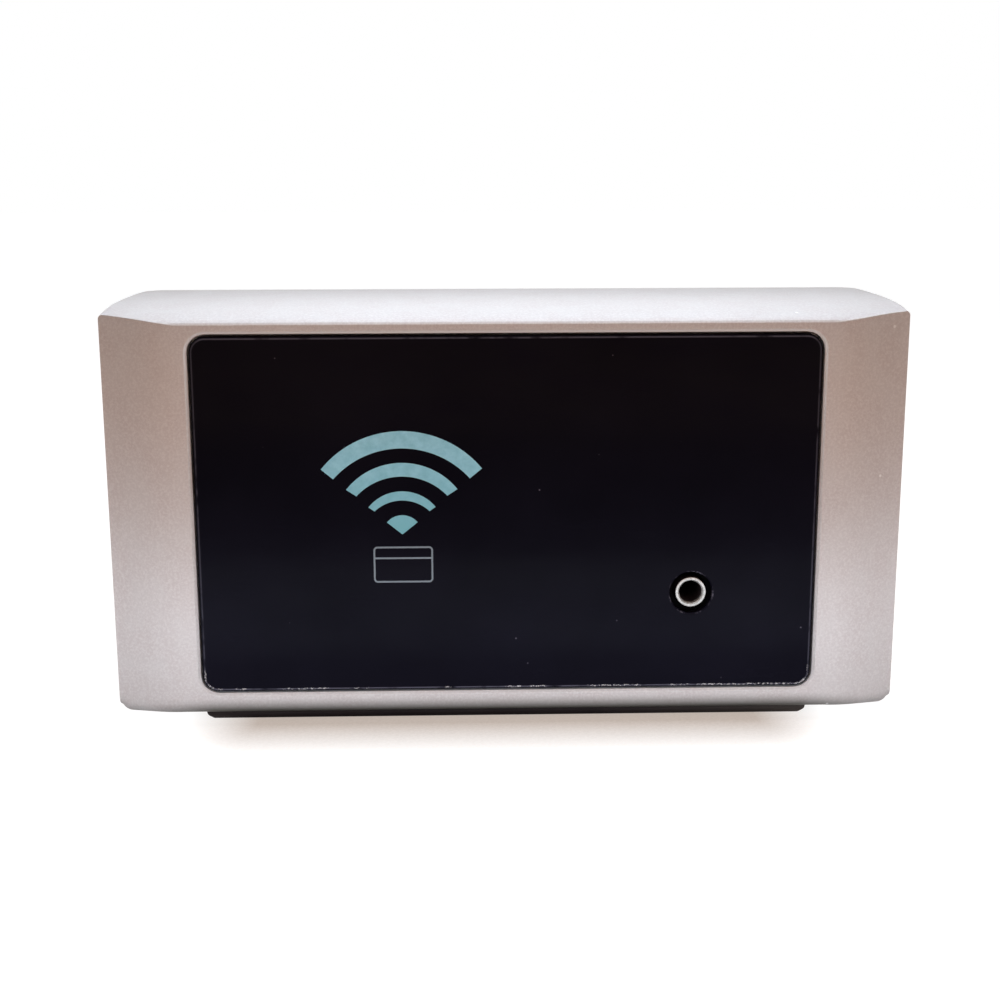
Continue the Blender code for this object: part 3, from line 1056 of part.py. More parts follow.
def make_lead(name, points, material):
    """A round lead along a route."""
    curve = bpy.data.curves.new(name, 'CURVE')
    curve.dimensions = '3D'
    curve.bevel_depth = LEAD_DIAMETER / 2
    curve.bevel_resolution = LEAD_BEVEL_STEPS
    curve.use_fill_caps = True
    route = smooth_route(points)
    spline = curve.splines.new('POLY')
    spline.points.add(len(route) - 1)
    for point, place in zip(spline.points, route):
        point.co = (*place, 1.0)
    curve.materials.append(material)
    piece = bpy.data.objects.new(name, curve)
    bpy.context.scene.collection.objects.link(piece)
    return piece


def make_leads(finishes):
    """Leads from the motor and from the battery bay to the main board."""
    lead_y = MOTOR_FRONT_Y + LEAD_DIAMETER
    start_x = MOTOR_X - MOTOR_DIAMETER / 2 - 2 * GAP
    end_x = MOTOR_CONNECTOR_X + CONNECTOR_WIDTH / 2 + GAP
    for number, side in enumerate((1, -1), start=1):
        material = finishes["red_lead" if side > 0 else "black_lead"]
        start_z = MOTOR_Z + side * LEAD_DIAMETER
        end_z = MOTOR_CONNECTOR_Z + side * LEAD_SPACING / 2
        bow = side * LEAD_DIAMETER
        bend = LEAD_BEND_SHARE * (end_x - start_x)
        make_lead(f"motor_lead_{number}",
                  [(start_x, lead_y, start_z), (start_x + bend, lead_y, start_z + bow),
                   (end_x - bend, lead_y, end_z + bow / 2), (end_x, lead_y, end_z)], material)
    connector_x = BATTERY_CONNECTOR_X + CONNECTOR_WIDTH / 2 + GAP
    blade_x = (CONTACT_INNER_X + CONTACT_OUTER_X) / 2
    outside_x = MAIN_BOARD_WIDTH / 2 + LEAD_DIAMETER + GAP
    start_z = BAY_CONTACT_TOP_Z + GAP
    connector_y = ON_MAIN_BOARD_Y + CONNECTOR_DEPTH / 2
    for number, row in enumerate((-1, 1), start=1):
        material = finishes["black_lead" if row < 0 else "red_lead"]
        start_y = TRAY_MIDDLE_Y + row * CELL_ROW_OFFSET
        end_z = BATTERY_CONNECTOR_Z - row * LEAD_SPACING / 2
        rise_z = (start_z + end_z) / 2
        make_lead(f"battery_lead_{number}",
                  [(blade_x, start_y, start_z), (outside_x, start_y, start_z + 2 * LEAD_DIAMETER),
                   (outside_x, (start_y + connector_y) / 2, rise_z),
                   (outside_x + LEAD_BEND_SHARE * (connector_x - outside_x), connector_y, end_z),
                   (connector_x, connector_y, end_z)], material)


def main():
    clear_scene()
    finishes = make_finishes()
    make_front_housing(finishes)
    make_front_panel(finishes)
    make_jack(finishes)
    make_antenna_board(finishes)
    make_inner_frame(finishes)
    make_main_board(finishes)
    make_switches(finishes)
    make_back_plate(finishes)
    make_deadbolt(finishes)
    make_gear_train(finishes)
    make_battery_tray(finishes)
    make_cells(finishes)
    make_contacts(finishes)
    make_leads(finishes)


main()
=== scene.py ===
"""Cabinet lock with a reader panel: the dressed model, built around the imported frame.

Metres, +Z up. The front faces -Y, and the flat rear face at y = 0 lies on the door.
"""
import json
import math

import bpy
from mathutils import Matrix, Vector

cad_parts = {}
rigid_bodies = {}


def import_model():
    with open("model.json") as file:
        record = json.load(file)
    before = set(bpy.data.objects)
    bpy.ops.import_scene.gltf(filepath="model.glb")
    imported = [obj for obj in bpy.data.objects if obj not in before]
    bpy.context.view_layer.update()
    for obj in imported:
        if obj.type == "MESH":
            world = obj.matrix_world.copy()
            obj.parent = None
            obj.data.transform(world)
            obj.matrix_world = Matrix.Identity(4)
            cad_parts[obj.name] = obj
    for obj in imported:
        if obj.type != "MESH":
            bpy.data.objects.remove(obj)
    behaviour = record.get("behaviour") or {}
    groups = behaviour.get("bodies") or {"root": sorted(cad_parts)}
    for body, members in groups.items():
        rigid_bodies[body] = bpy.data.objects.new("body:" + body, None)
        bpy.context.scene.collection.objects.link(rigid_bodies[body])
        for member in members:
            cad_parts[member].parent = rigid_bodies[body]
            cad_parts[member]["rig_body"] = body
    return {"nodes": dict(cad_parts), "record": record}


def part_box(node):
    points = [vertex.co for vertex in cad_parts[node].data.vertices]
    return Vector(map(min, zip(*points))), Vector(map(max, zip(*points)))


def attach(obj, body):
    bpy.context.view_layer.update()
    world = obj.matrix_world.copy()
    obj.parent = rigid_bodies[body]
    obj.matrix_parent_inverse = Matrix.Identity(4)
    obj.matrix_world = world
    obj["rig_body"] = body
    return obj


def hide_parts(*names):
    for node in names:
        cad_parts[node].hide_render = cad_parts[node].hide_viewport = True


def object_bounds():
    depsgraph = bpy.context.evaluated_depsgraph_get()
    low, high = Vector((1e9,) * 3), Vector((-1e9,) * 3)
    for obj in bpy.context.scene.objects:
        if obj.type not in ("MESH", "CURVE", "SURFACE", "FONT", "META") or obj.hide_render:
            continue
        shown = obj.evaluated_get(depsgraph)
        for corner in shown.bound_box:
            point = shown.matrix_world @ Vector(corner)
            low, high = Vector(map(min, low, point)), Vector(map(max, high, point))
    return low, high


MM = 0.001
DEGREE = math.radians(1.0)
WHITE = (1.0, 1.0, 1.0, 1.0)

# Camera: place, angles in radians, lens and sensor in millimetres
CAMERA_PLACE = Vector((-6.7155, -249.026, 50.393)) * MM
CAMERA_PITCH = 0.211408
CAMERA_YAW = 0.025421
CAMERA_ROLL = -0.0024
CAMERA_LENS = 54.146
CAMERA_SENSOR = 36.0
CAMERA_CLIP_START = 10.0 * MM

# Floor: a painted shadow under the tray, a darker patch of its glow, which fades out over its reach
FLOOR_SIZE = 6.0
FLOOR_GAP = 0.05 * MM
PAINTED_SHADOW_GLOW = (0.45, 0.39, 0.345, 1.0)
SHADOW_SHARPNESS = (1.2, 1.0, 0.0)
SHADOW_HALF_SIZE = (46.2 * MM, 15.8 * MM, 0.0)
SHADOW_SHIFT = (0.0, 14.5 * MM, 0.0)
SHADOW_REACH = 13.5 * MM

# Light: the even fill of the world, and soft lamps, measured in metres and watts
WORLD_FILL = (0.046, 0.035, 0.029, 1.0)
LAMPS = (
    {"name": "overhead_softbox", "place": (0.0, 0.14, 0.48), "aim": (0.0, 0.0, 0.0),
     "width": 0.60, "height": 0.35, "power": 0.88, "colour": (0.79, 0.86, 1.0)},
    {"name": "left_softbox", "place": (-0.48, 0.22, 0.12), "aim": (0.0, 0.0, 0.0),
     "width": 0.25, "height": 0.20, "power": 1.0, "colour": (0.96, 0.98, 1.0)},
    {"name": "right_softbox", "place": (0.48, 0.22, 0.12), "aim": (0.0, 0.0, 0.0),
     "width": 0.25, "height": 0.20, "power": 1.0, "colour": (0.96, 0.98, 1.0)},
    {"name": "top_edge_strip", "place": (0.0, -0.033, 0.062), "aim": (0.0, -0.033, 0.0),
     "width": 0.13, "height": 0.010, "power": 0.034, "colour": (0.82, 0.90, 1.0)},
    {"name": "warm_room_light", "place": (0.10, -0.60, 0.45), "aim": (0.0, -0.03, 0.0),
     "width": 0.30, "height": 0.20, "power": 0.30, "colour": (1.0, 0.64, 0.42)},
    {"name": "warm_front_card", "place": (0.025, -0.075, 0.015), "aim": (0.025, -0.03, 0.015),
     "width": 0.32, "height": 0.020, "power": 0.0280, "colour": (1.0, 0.64, 0.47)},
    {"name": "low_front_card", "place": (0.0, -0.055, -0.021), "aim": (0.0, -0.03, -0.021),
     "width": 0.25, "height": 0.016, "power": 0.0325, "colour": (0.81, 0.89, 1.0)},
)

# Depth of the surface patterns
FINE_GRAIN_DEPTH = 0.02 * MM
MOULDED_GRAIN_DEPTH = 0.03 * MM
PRINT_GRAIN_DEPTH = 0.01 * MM

# Housing paint: a painted highlight on the lip round the panel, and painted shade on the lower front edge
# that fades towards the tips
LIP_HIGHLIGHT_WIDTH = 0.52 * MM
LIP_HIGHLIGHT_FADE = 0.30 * MM
LIP_HIGHLIGHT_HEIGHTS = (8.0 * MM, 25.0 * MM)
PAINTED_SHADE_HEIGHTS = (-28.2 * MM, -30.4 * MM)
PAINTED_SHADE_DEPTHS = (-18.0 * MM, -24.0 * MM)
PAINTED_SHADE_SIDES = (55.0 * MM, 45.0 * MM)

# Reader panel
PANEL_SINK = 0.04 * MM
PANEL_CORNER = 2.4 * MM
PANEL_CORNER_STEPS = 8
PANEL_BEVEL = 0.35 * MM
PANEL_BEVEL_STEPS = 3
PANEL_BEVEL_ANGLE = 60.0 * DEGREE
HOLE_RADIUS = 3.2 * MM
DRILL_LENGTH = 20.0 * MM

# Wear of the panel, a painted highlight along its edge and painted light in its haze: distances in from its
# outline, heights, worn stretches along X, scuffs round its hole
HAZE_AND_LIGHT_HEIGHTS = (24.0 * MM, -18.0 * MM)
EDGE_HIGHLIGHT = (0.30 * MM, 0.44 * MM)
EDGE_HIGHLIGHT_SOFTNESS = 0.07 * MM
EDGE_HIGHLIGHT_SIDES = (1.6 * MM, 0.9 * MM)
CHIPS = (0.30 * MM, 0.48 * MM)
CHIP_SOFTNESS = 0.08 * MM
CHIP_HEIGHTS = (-23.6 * MM, -24.2 * MM)
CHIP_END_SOFTNESS = 0.4 * MM
CHIPPED_MILLIMETRES = ((-46.6, -43.8), (-41.4, -39.9), (-34.2, -33.1), (-31.9, -30.7), (-29.9, -27.6),
                       (-23.3, -23.0), (-21.9, -21.5), (-9.3, -8.9), (-0.1, 1.8), (3.3, 5.6), (12.5, 20.1),
                       (25.0, 27.8), (29.3, 33.9), (34.7, 46.6))
SCUFF_RADII = (HOLE_RADIUS + 0.05 * MM, HOLE_RADIUS + 0.20 * MM)
SCUFF_SOFTNESS = 0.06 * MM

# Printed sign on the panel: arcs over a wedge, and a card below them
PRINT_THICKNESS = 0.03 * MM
INK_HEIGHTS = (9.0 * MM, -2.0 * MM)
SIGN_X = -15.75 * MM
# Each arc's outer and inner edge: radius, height of its centre and half its angle
ARCS = (
    ("signal_arc_outer", (15.37 * MM, -2.33 * MM, 51.0 * DEGREE), (13.49 * MM, -3.05 * MM, 48.7 * DEGREE)),
    ("signal_arc_middle", (10.49 * MM, -2.22 * MM, 52.0 * DEGREE), (9.22 * MM, -3.02 * MM, 47.2 * DEGREE)),
    ("signal_arc_inner", (6.39 * MM, -2.43 * MM, 51.5 * DEGREE), (5.91 * MM, -3.34 * MM, 43.9 * DEGREE)),
)
ARC_STEPS = 40
WEDGE_RADIUS = 2.94 * MM
WEDGE_CENTRE_Z = -2.62 * MM
WEDGE_HALF_ANGLE = 51.0 * DEGREE
WEDGE_STEPS = 16
CARD_CENTRE = (-15.68 * MM, -7.28 * MM)
CARD_HALF_WIDTH = 4.46 * MM
CARD_HALF_HEIGHT = 2.79 * MM
CARD_CORNER = 0.60 * MM
CARD_LINE = 0.26 * MM
CARD_CORNER_STEPS = 6
STRIPE_Z = -6.29 * MM

# Supply jack: the bright sleeve round its bore, with the dark lining and collar
RING_VERTICES = 64
RING_BORE = 1.77 * MM
RING_MOUTH = 1.95 * MM
RING_EDGE = 0.10 * MM
MOUTH_DEPTH = 0.22 * MM
RIM_DEPTH = 0.30 * MM
RIM_OVERHANG = 0.20 * MM
SLEEVE_LENGTH = 0.95 * MM
LINING_BORE = 1.70 * MM

# Tray and cells: where the painted light on the tray's right end grows, and where the cells' pale ends
# begin
TRAY_PAINTED_LIGHT_SIDES = (18.0 * MM, 46.0 * MM)
CELL_END_SIDES = (30.5 * MM, 30.8 * MM)

# Bevels on the copies of the frame's solids
HOUSING_BEVEL = 0.32 * MM
PLATE_BEVEL = 0.15 * MM
TRAY_BEVEL = 0.25 * MM
BOLT_BEVEL = 0.30 * MM
SMALL_BEVEL = 0.08 * MM
ROUND_BEVEL_STEPS = 3
SMOOTH_ANGLE = 32.0 * DEGREE
BEVEL_ANGLE = 28.0 * DEGREE
FLAT_ANGLE = 0.5 * DEGREE
MERGE_DISTANCE = 0.002 * MM
BROAD_FACE_WEIGHT = 80

# Lower front edge: how far the housing and the tray's lip are drawn down there
HOUSING_DROP = 0.40 * MM
HOUSING_DROP_HEIGHTS = (-31.2 * MM, -28.2 * MM)
TRAY_DROP = 0.15 * MM
TRAY_DROP_HEIGHTS = (-31.2 * MM, -30.7 * MM)
DROP_FULL_Y = -17.0 * MM
DROP_END_Y = -2.0 * MM
TIP_DROP = 0.60 * MM
TIP_DROP_START_X = 49.0 * MM
TIP_DROP_END_X = 59.0 * MM


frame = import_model()
cad_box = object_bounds()
bpy.ops.object.select_all(action='DESELECT')
slot_of = {part["node"]: part["material_slot"] for part in frame["record"]["subparts"]}


# Nodes of the materials

def srgb(red, green, blue):
    """A colour written as it looks, 0 to 255, as linear light."""
    channels = []
    for value in (red, green, blue):
        share = value / 255
        channels.append(share / 12.92 if share <= 0.04045 else ((share + 0.055) / 1.055) ** 2.4)
    return (*channels, 1.0)


def new_finish(name, colour, roughness, metallic=0.0, specular=0.5):
    """A material with its plain values on the shader's own sockets."""
    material = bpy.data.materials.new(name)
    material.use_nodes = True
    shader = material.node_tree.nodes["Principled BSDF"]
    shader.inputs["Base Color"].default_value = colour
    shader.inputs["Roughness"].default_value = roughness
    shader.inputs["Metallic"].default_value = metallic
    shader.inputs["Specular IOR Level"].default_value = specular
    return material


def node(material, kind, inputs, **settings):
    """Adds a node to a material or a world, with its settings, and a link or a value on each input."""
    made = material.node_tree.nodes.new(kind)
    for key, value in settings.items():
        setattr(made, key, value)
    for key, value in inputs.items():
        if isinstance(value, bpy.types.NodeSocket):
            material.node_tree.links.new(value, made.inputs[key])
        else:
            made.inputs[key].default_value = value
    return made


def to_socket(material, source, node_name, socket_name):
    """Links a pattern to a socket of a node that the material began with."""
    material.node_tree.links.new(source, material.node_tree.nodes[node_name].inputs[socket_name])


def to_shader(material, source, socket_name):
    """Links a pattern to a socket of the material's shader."""
    to_socket(material, source, "Principled BSDF", socket_name)


def place_on_object(material, stretch=(1.0, 1.0, 1.0), shift=(0.0, 0.0, 0.0)):
    """Object coordinates, stretched and shifted."""
    coordinates = node(material, "ShaderNodeTexCoord", {})
    placed = {"Vector": coordinates.outputs["Object"], "Scale": stretch, "Location": shift}
    return node(material, "ShaderNodeMapping", placed).outputs["Vector"]


def cloud(material, scale, detail=3.0, roughness=0.5, stretch=(1.0, 1.0, 1.0), shift=(0.0, 0.0, 0.0)):
    """A noise pattern on Object coordinates. Scale counts its lumps per metre."""
    noise = node(material, "ShaderNodeTexNoise", {
        "Vector": place_on_object(material, stretch, shift),
        "Scale": scale,
        "Detail": detail,
        "Roughness": roughness,
    })
    return noise.outputs["Fac"]


def shaped(material, source, low, high, to_low=0.0, to_high=1.0):
    """Maps a value from one range to another, held at the ends."""
    ramp = node(material, "ShaderNodeMapRange", {
        "Value": source,
        "From Min": low,
        "From Max": high,
        "To Min": to_low,
        "To Max": to_high,
    })
    return ramp.outputs["Result"]


def calculated(material, operation, *values):
    """The result of one operation on links and numbers."""
    return node(material, "ShaderNodeMath", dict(enumerate(values)), operation=operation).outputs[0]


def vector_math(material, operation, *values):
    """The outputs of one operation on links and vectors."""
    return node(material, "ShaderNodeVectorMath", dict(enumerate(values)), operation=operation).outputs


def product(material, *values):
    """The product of two or more links."""
    total = values[0]
    for value in values[1:]:
        total = calculated(material, 'MULTIPLY', total, value)
    return total


def mixed(material, share, first, second):
    """Two colours, each a link or a value, mixed by a share."""
    # A mix has sockets for numbers, vectors and colours. The colours are 6 and 7, and come out at 2.
    return node(material, "ShaderNodeMix", {0: share, 6: first, 7: second}, data_type='RGBA').outputs[2]


def mottled(material, pattern, dark, light):
    """Two colours that a pattern mixes softly."""
    return mixed(material, shaped(material, pattern, 0.35, 0.65), srgb(*dark), srgb(*light))


def vary_gloss(material, pattern, low, high):
    """Roughness that follows a pattern from a low value to a high one."""
    to_shader(material, shaped(material, pattern, 0.3, 0.7, low, high), "Roughness")


def roughen(material, pattern, strength, depth):
    """Bump from a height pattern."""
    bump = node(material, "ShaderNodeBump", {"Height": pattern, "Strength": strength, "Distance": depth})
    to_shader(material, bump.outputs["Normal"], "Normal")


def axis_value(material, axis):
    """One Object coordinate, in metres."""
    return node(material, "ShaderNodeSeparateXYZ", {"Vector": place_on_object(material)}).outputs[axis]


def side_distance(material):
    """How far a point lies to either side of the lock's middle, in metres."""
    return calculated(material, 'ABSOLUTE', axis_value(material, "X"))


def past_box(material, point, half_size):
    """How far a point lies outside a box round the origin."""
    flat = vector_math(material, 'ABSOLUTE', point)[0]
    beyond = vector_math(material, 'SUBTRACT', flat, half_size)[0]
    outside = vector_math(material, 'MAXIMUM', beyond, (0.0, 0.0, 0.0))[0]
    return vector_math(material, 'LENGTH', outside)["Value"]


def panel_edge_distance(material):
    """How far a point lies inside the panel's rounded outline, in metres, up to the corner's radius."""
    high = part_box("front_panel")[1]
    half_size = (high.x - PANEL_CORNER, 0.0, high.z - PANEL_CORNER)
    reach = past_box(material, place_on_object(material, (1.0, 0.0, 1.0)), half_size)
    return calculated(material, 'SUBTRACT', PANEL_CORNER, reach)


def jack_centre():
    """The middle of the jack's barrel."""
    low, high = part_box("jack_barrel")
    return (low + high) / 2


def jack_distance(material):
    """How far a point on the front lies from the jack's middle, in metres."""
    centre = jack_centre()
    flat = place_on_object(material, (1.0, 0.0, 1.0), (-centre.x, 0.0, -centre.z))
    return vector_math(material, 'LENGTH', flat)["Value"]


def band(material, source, start, end, softness):
    """1 between two values, falling to 0 on either side."""
    rise = shaped(material, source, start - softness, start)
    fall = shaped(material, source, end + softness, end)
    return product(material, rise, fall)


def specks(material, scale, rim, core, where):
    """Small round dots in some of the cells of a grain, where a pattern allows them."""
    cells = node(material, "ShaderNodeTexVoronoi", {"Scale": scale, "Vector": place_on_object(material)})
    return product(material, shaped(material, cells.outputs["Distance"], rim, core), where)


# Outer finishes

def make_housing_paint():
    """Satin silver paint: fine grain, soft mottling, a painted highlight on the lip round the panel,
    painted shade on the lower front edge and a few specks.
    """
    paint = new_finish("satin_silver_paint", srgb(212, 206, 204), 0.42, metallic=0.02, specular=0.15)
    height = axis_value(paint, "Z")
    mottle = shaped(paint, cloud(paint, 260.0, detail=2.0, stretch=(1.0, 1.0, 0.6)), 0.38, 0.62)
    tone = mixed(paint, mottle, srgb(208, 200, 197), srgb(211, 205, 202))
    grain = cloud(paint, 2600.0, roughness=0.7)
    tone = mixed(paint, shaped(paint, grain, 0.42, 0.68), tone, srgb(223, 218, 215))
    # Painted highlight: a near white band on the lip round the panel, strongest towards the top, where
    # light catches it
    lip = band(paint, panel_edge_distance(paint), -LIP_HIGHLIGHT_WIDTH, 0.0, LIP_HIGHLIGHT_FADE)
    lit_from_above = shaped(paint, height, *LIP_HIGHLIGHT_HEIGHTS, 0.1, 1.0)
    tone = mixed(paint, product(paint, lip, lit_from_above), tone, srgb(252, 254, 255))
    # Painted shade: the lower front edge turns dark olive grey, most between the wings and less towards the
    # tips
    painted_shade = product(paint, shaped(paint, height, *PAINTED_SHADE_HEIGHTS, 0.0, 0.95),
                   shaped(paint, axis_value(paint, "Y"), *PAINTED_SHADE_DEPTHS),
                   shaped(paint, side_distance(paint), *PAINTED_SHADE_SIDES, 0.12, 1.0))
    tone = mixed(paint, painted_shade, tone, srgb(96, 93, 84))
    rare = shaped(paint, cloud(paint, 170.0, detail=0.0, shift=(0.3, 0.1, 0.7)), 0.66, 0.68)
    tone = mixed(paint, specks(paint, 240.0, 0.07, 0.04, rare), tone, srgb(245, 243, 240))
    to_shader(paint, tone, "Base Color")
    vary_gloss(paint, grain, 0.36, 0.48)
    roughen(paint, grain, 0.10, FINE_GRAIN_DEPTH)
    return paint


def smoky_black(acrylic):
    """The acrylic's colour: near black, and paler towards the foot of the panel, where it holds a haze and
    painted light together.
    """
    drift = shaped(acrylic, cloud(acrylic, 60.0), 0.30, 0.70)
    clear = mixed(acrylic, drift, srgb(5, 2, 9), srgb(10, 6, 15))
    # Haze and painted light: the acrylic turns paler towards the foot of the panel
    hazed_and_lit = mixed(acrylic, drift, srgb(15, 14, 23), srgb(20, 19, 29))
    return mixed(acrylic, shaped(acrylic, axis_value(acrylic, "Z"), *HAZE_AND_LIGHT_HEIGHTS), clear, hazed_and_lit)


def painted_edge_highlight(acrylic, inside):
    """A painted highlight along the panel's bevel, broken here and there and fainter at the sides."""
    line = band(acrylic, inside, *EDGE_HIGHLIGHT, EDGE_HIGHLIGHT_SOFTNESS)
    broken = shaped(acrylic, cloud(acrylic, 420.0, detail=2.0, shift=(0.1, 0.2, 0.3)), 0.28, 0.46)
    half_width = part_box("front_panel")[1].x
    start, end = (half_width - margin for margin in EDGE_HIGHLIGHT_SIDES)
    return product(acrylic, line, broken, shaped(acrylic, side_distance(acrylic), start, end, 1.0, 0.55))


def edge_chips(acrylic, inside):
    """Bright chips on the panel's lower edge, along its worn stretches."""
    rim = band(acrylic, inside, *CHIPS, CHIP_SOFTNESS)
    flakes = cloud(acrylic, 3400.0, detail=4.0, roughness=0.75, stretch=(0.8, 1.0, 1.0))
    along = axis_value(acrylic, "X")
    worn = 0.0
    for start, end in CHIPPED_MILLIMETRES:
        stretch = band(acrylic, along, start * MM, end * MM, CHIP_END_SOFTNESS)
        worn = calculated(acrylic, 'MAXIMUM', worn, stretch)
    low_edge = shaped(acrylic, axis_value(acrylic, "Z"), *CHIP_HEIGHTS)
    return product(acrylic, rim, shaped(acrylic, flakes, 0.52, 0.57), worn, low_edge)


def hole_scuffs(acrylic):
    """Patchy grey scuffs on the rim of the hole before the jack."""
    rim = band(acrylic, jack_distance(acrylic), *SCUFF_RADII, SCUFF_SOFTNESS)
    patches = shaped(acrylic, cloud(acrylic, 330.0, detail=2.0, shift=(0.5, 0.0, 0.1)), 0.48, 0.62)
    return product(acrylic, rim, patches, shaped(acrylic, cloud(acrylic, 3200.0, detail=2.0), 0.42, 0.62))


def make_panel_acrylic():
    """Near black acrylic with a painted highlight along its edge, chips, scuffs round its hole and a few
    pale specks.
    """
    acrylic = new_finish("black_acrylic", srgb(16, 15, 22), 0.22, specular=0.02)
    inside = panel_edge_distance(acrylic)
    # Painted highlight: a pale grey line along the bevel
    tone = mixed(acrylic, painted_edge_highlight(acrylic, inside), smoky_black(acrylic), srgb(84, 83, 94))
    tone = mixed(acrylic, edge_chips(acrylic, inside), tone, srgb(206, 202, 200))
    tone = mixed(acrylic, hole_scuffs(acrylic), tone, srgb(112, 108, 120))
    sparse = shaped(acrylic, cloud(acrylic, 190.0, detail=1.0, shift=(0.7, 0.2, 0.9)), 0.60, 0.66)
    tone = mixed(acrylic, specks(acrylic, 420.0, 0.07, 0.03, sparse), tone, srgb(96, 92, 104))
    to_shader(acrylic, tone, "Base Color")
    smears = cloud(acrylic, 140.0, detail=4.0, roughness=0.65, stretch=(0.5, 1.0, 1.6))
    vary_gloss(acrylic, smears, 0.16, 0.30)
    roughen(acrylic, cloud(acrylic, 3000.0, detail=2.0), 0.05, PRINT_GRAIN_DEPTH)
    return acrylic


def make_ink(name, light, dark, low):
    """Screen printed ink, a little uneven and darker towards the foot of the sign."""
    ink = new_finish(name, srgb(*light), 0.5, specular=0.3)
    uneven = cloud(ink, 700.0, detail=4.0, roughness=0.6)
    downward = shaped(ink, axis_value(ink, "Z"), *INK_HEIGHTS)
    to_shader(ink, mixed(ink, downward, mottled(ink, uneven, dark, light), srgb(*low)), "Base Color")
    roughen(ink, uneven, 0.2, PRINT_GRAIN_DEPTH)
    return ink


def make_moulded_plastic(name, colour, lighter, roughness, grain_scale=2600.0, specular=0.4, painted_end_light=None):
    """Moulded plastic with a fine spark eroded grain, and painted light towards its right end where it has
    any.
    """
    plastic = new_finish(name, srgb(*colour), roughness, specular=specular)
    grain = cloud(plastic, grain_scale, detail=2.0)
    drift = cloud(plastic, 90.0, detail=2.0, shift=(0.2, 0.5, 0.1))
    tone = mottled(plastic, drift, colour, lighter)
    # Painted light: the plastic turns lighter towards its right end
    if painted_end_light:
        painted_lit_end = shaped(plastic, axis_value(plastic, "X"), *TRAY_PAINTED_LIGHT_SIDES)
        tone = mixed(plastic, painted_lit_end, tone, srgb(*painted_end_light))
    to_shader(plastic, tone, "Base Color")
    vary_gloss(plastic, grain, roughness - 0.08, roughness + 0.10)
    roughen(plastic, grain, 0.25, MOULDED_GRAIN_DEPTH)
    return plastic


def make_metal(name, colour, lighter, roughness, stretch):
    """Metal with a drawn or milled grain along one direction."""
    metal = new_finish(name, srgb(*colour), roughness, metallic=1.0)
    grain = cloud(metal, 1800.0, stretch=stretch)
    to_shader(metal, mottled(metal, grain, colour, lighter), "Base Color")
    vary_gloss(metal, grain, roughness - 0.06, roughness + 0.08)
    roughen(metal, grain, 0.12, FINE_GRAIN_DEPTH)
    return metal


def make_satin_nickel():
    """Satin nickel of the jack's sleeve."""
    nickel = new_finish("satin_nickel", srgb(186, 185, 181), 0.50, metallic=0.40)
    grain = cloud(nickel, 2600.0, stretch=(1.0, 0.2, 1.0))
    to_shader(nickel, mottled(nickel, grain, (164, 163, 158), (202, 201, 198)), "Base Color")
    vary_gloss(nickel, grain, 0.38, 0.52)
    roughen(nickel, grain, 0.15, FINE_GRAIN_DEPTH)
    return nickel


# Inner finishes

def make_board_resist():
    """Green solder resist with faint paler tracks under it."""
    board = new_finish("green_solder_resist", srgb(28, 92, 58), 0.35)
    upright = node(board, "ShaderNodeMapping", {
        "Vector": place_on_object(board),
        "Rotation": (math.pi / 2, 0.0, 0.0),
    })
    tracks = node(board, "ShaderNodeTexBrick", {
        "Vector": upright.outputs["Vector"],
        "Scale": 180.0,
        "Mortar Size": 0.06,
        "Color1": srgb(24, 84, 52),
        "Color2": srgb(28, 92, 58),
        "Mortar": srgb(44, 116, 74),
    })
    to_shader(board, tracks.outputs["Color"], "Base Color")
    roughen(board, tracks.outputs["Fac"], 0.2, FINE_GRAIN_DEPTH)
    return board


def make_cell_jacket():
    """Plastic sleeve of a cell, blue over the middle of the rows and pale towards their ends."""
    sleeve = new_finish("cell_sleeve", srgb(60, 96, 140), 0.32)
    scuffs = cloud(sleeve, 800.0, stretch=(0.3, 1.0, 1.0))
    blue = mixed(sleeve, shaped(sleeve, scuffs, 0.4, 0.7), srgb(52, 86, 128), srgb(70, 106, 150))
    ends = shaped(sleeve, side_distance(sleeve), *CELL_END_SIDES)
    to_shader(sleeve, mixed(sleeve, ends, blue, srgb(206, 204, 198)), "Base Color")
    vary_gloss(sleeve, scuffs, 0.26, 0.40)
    return sleeve


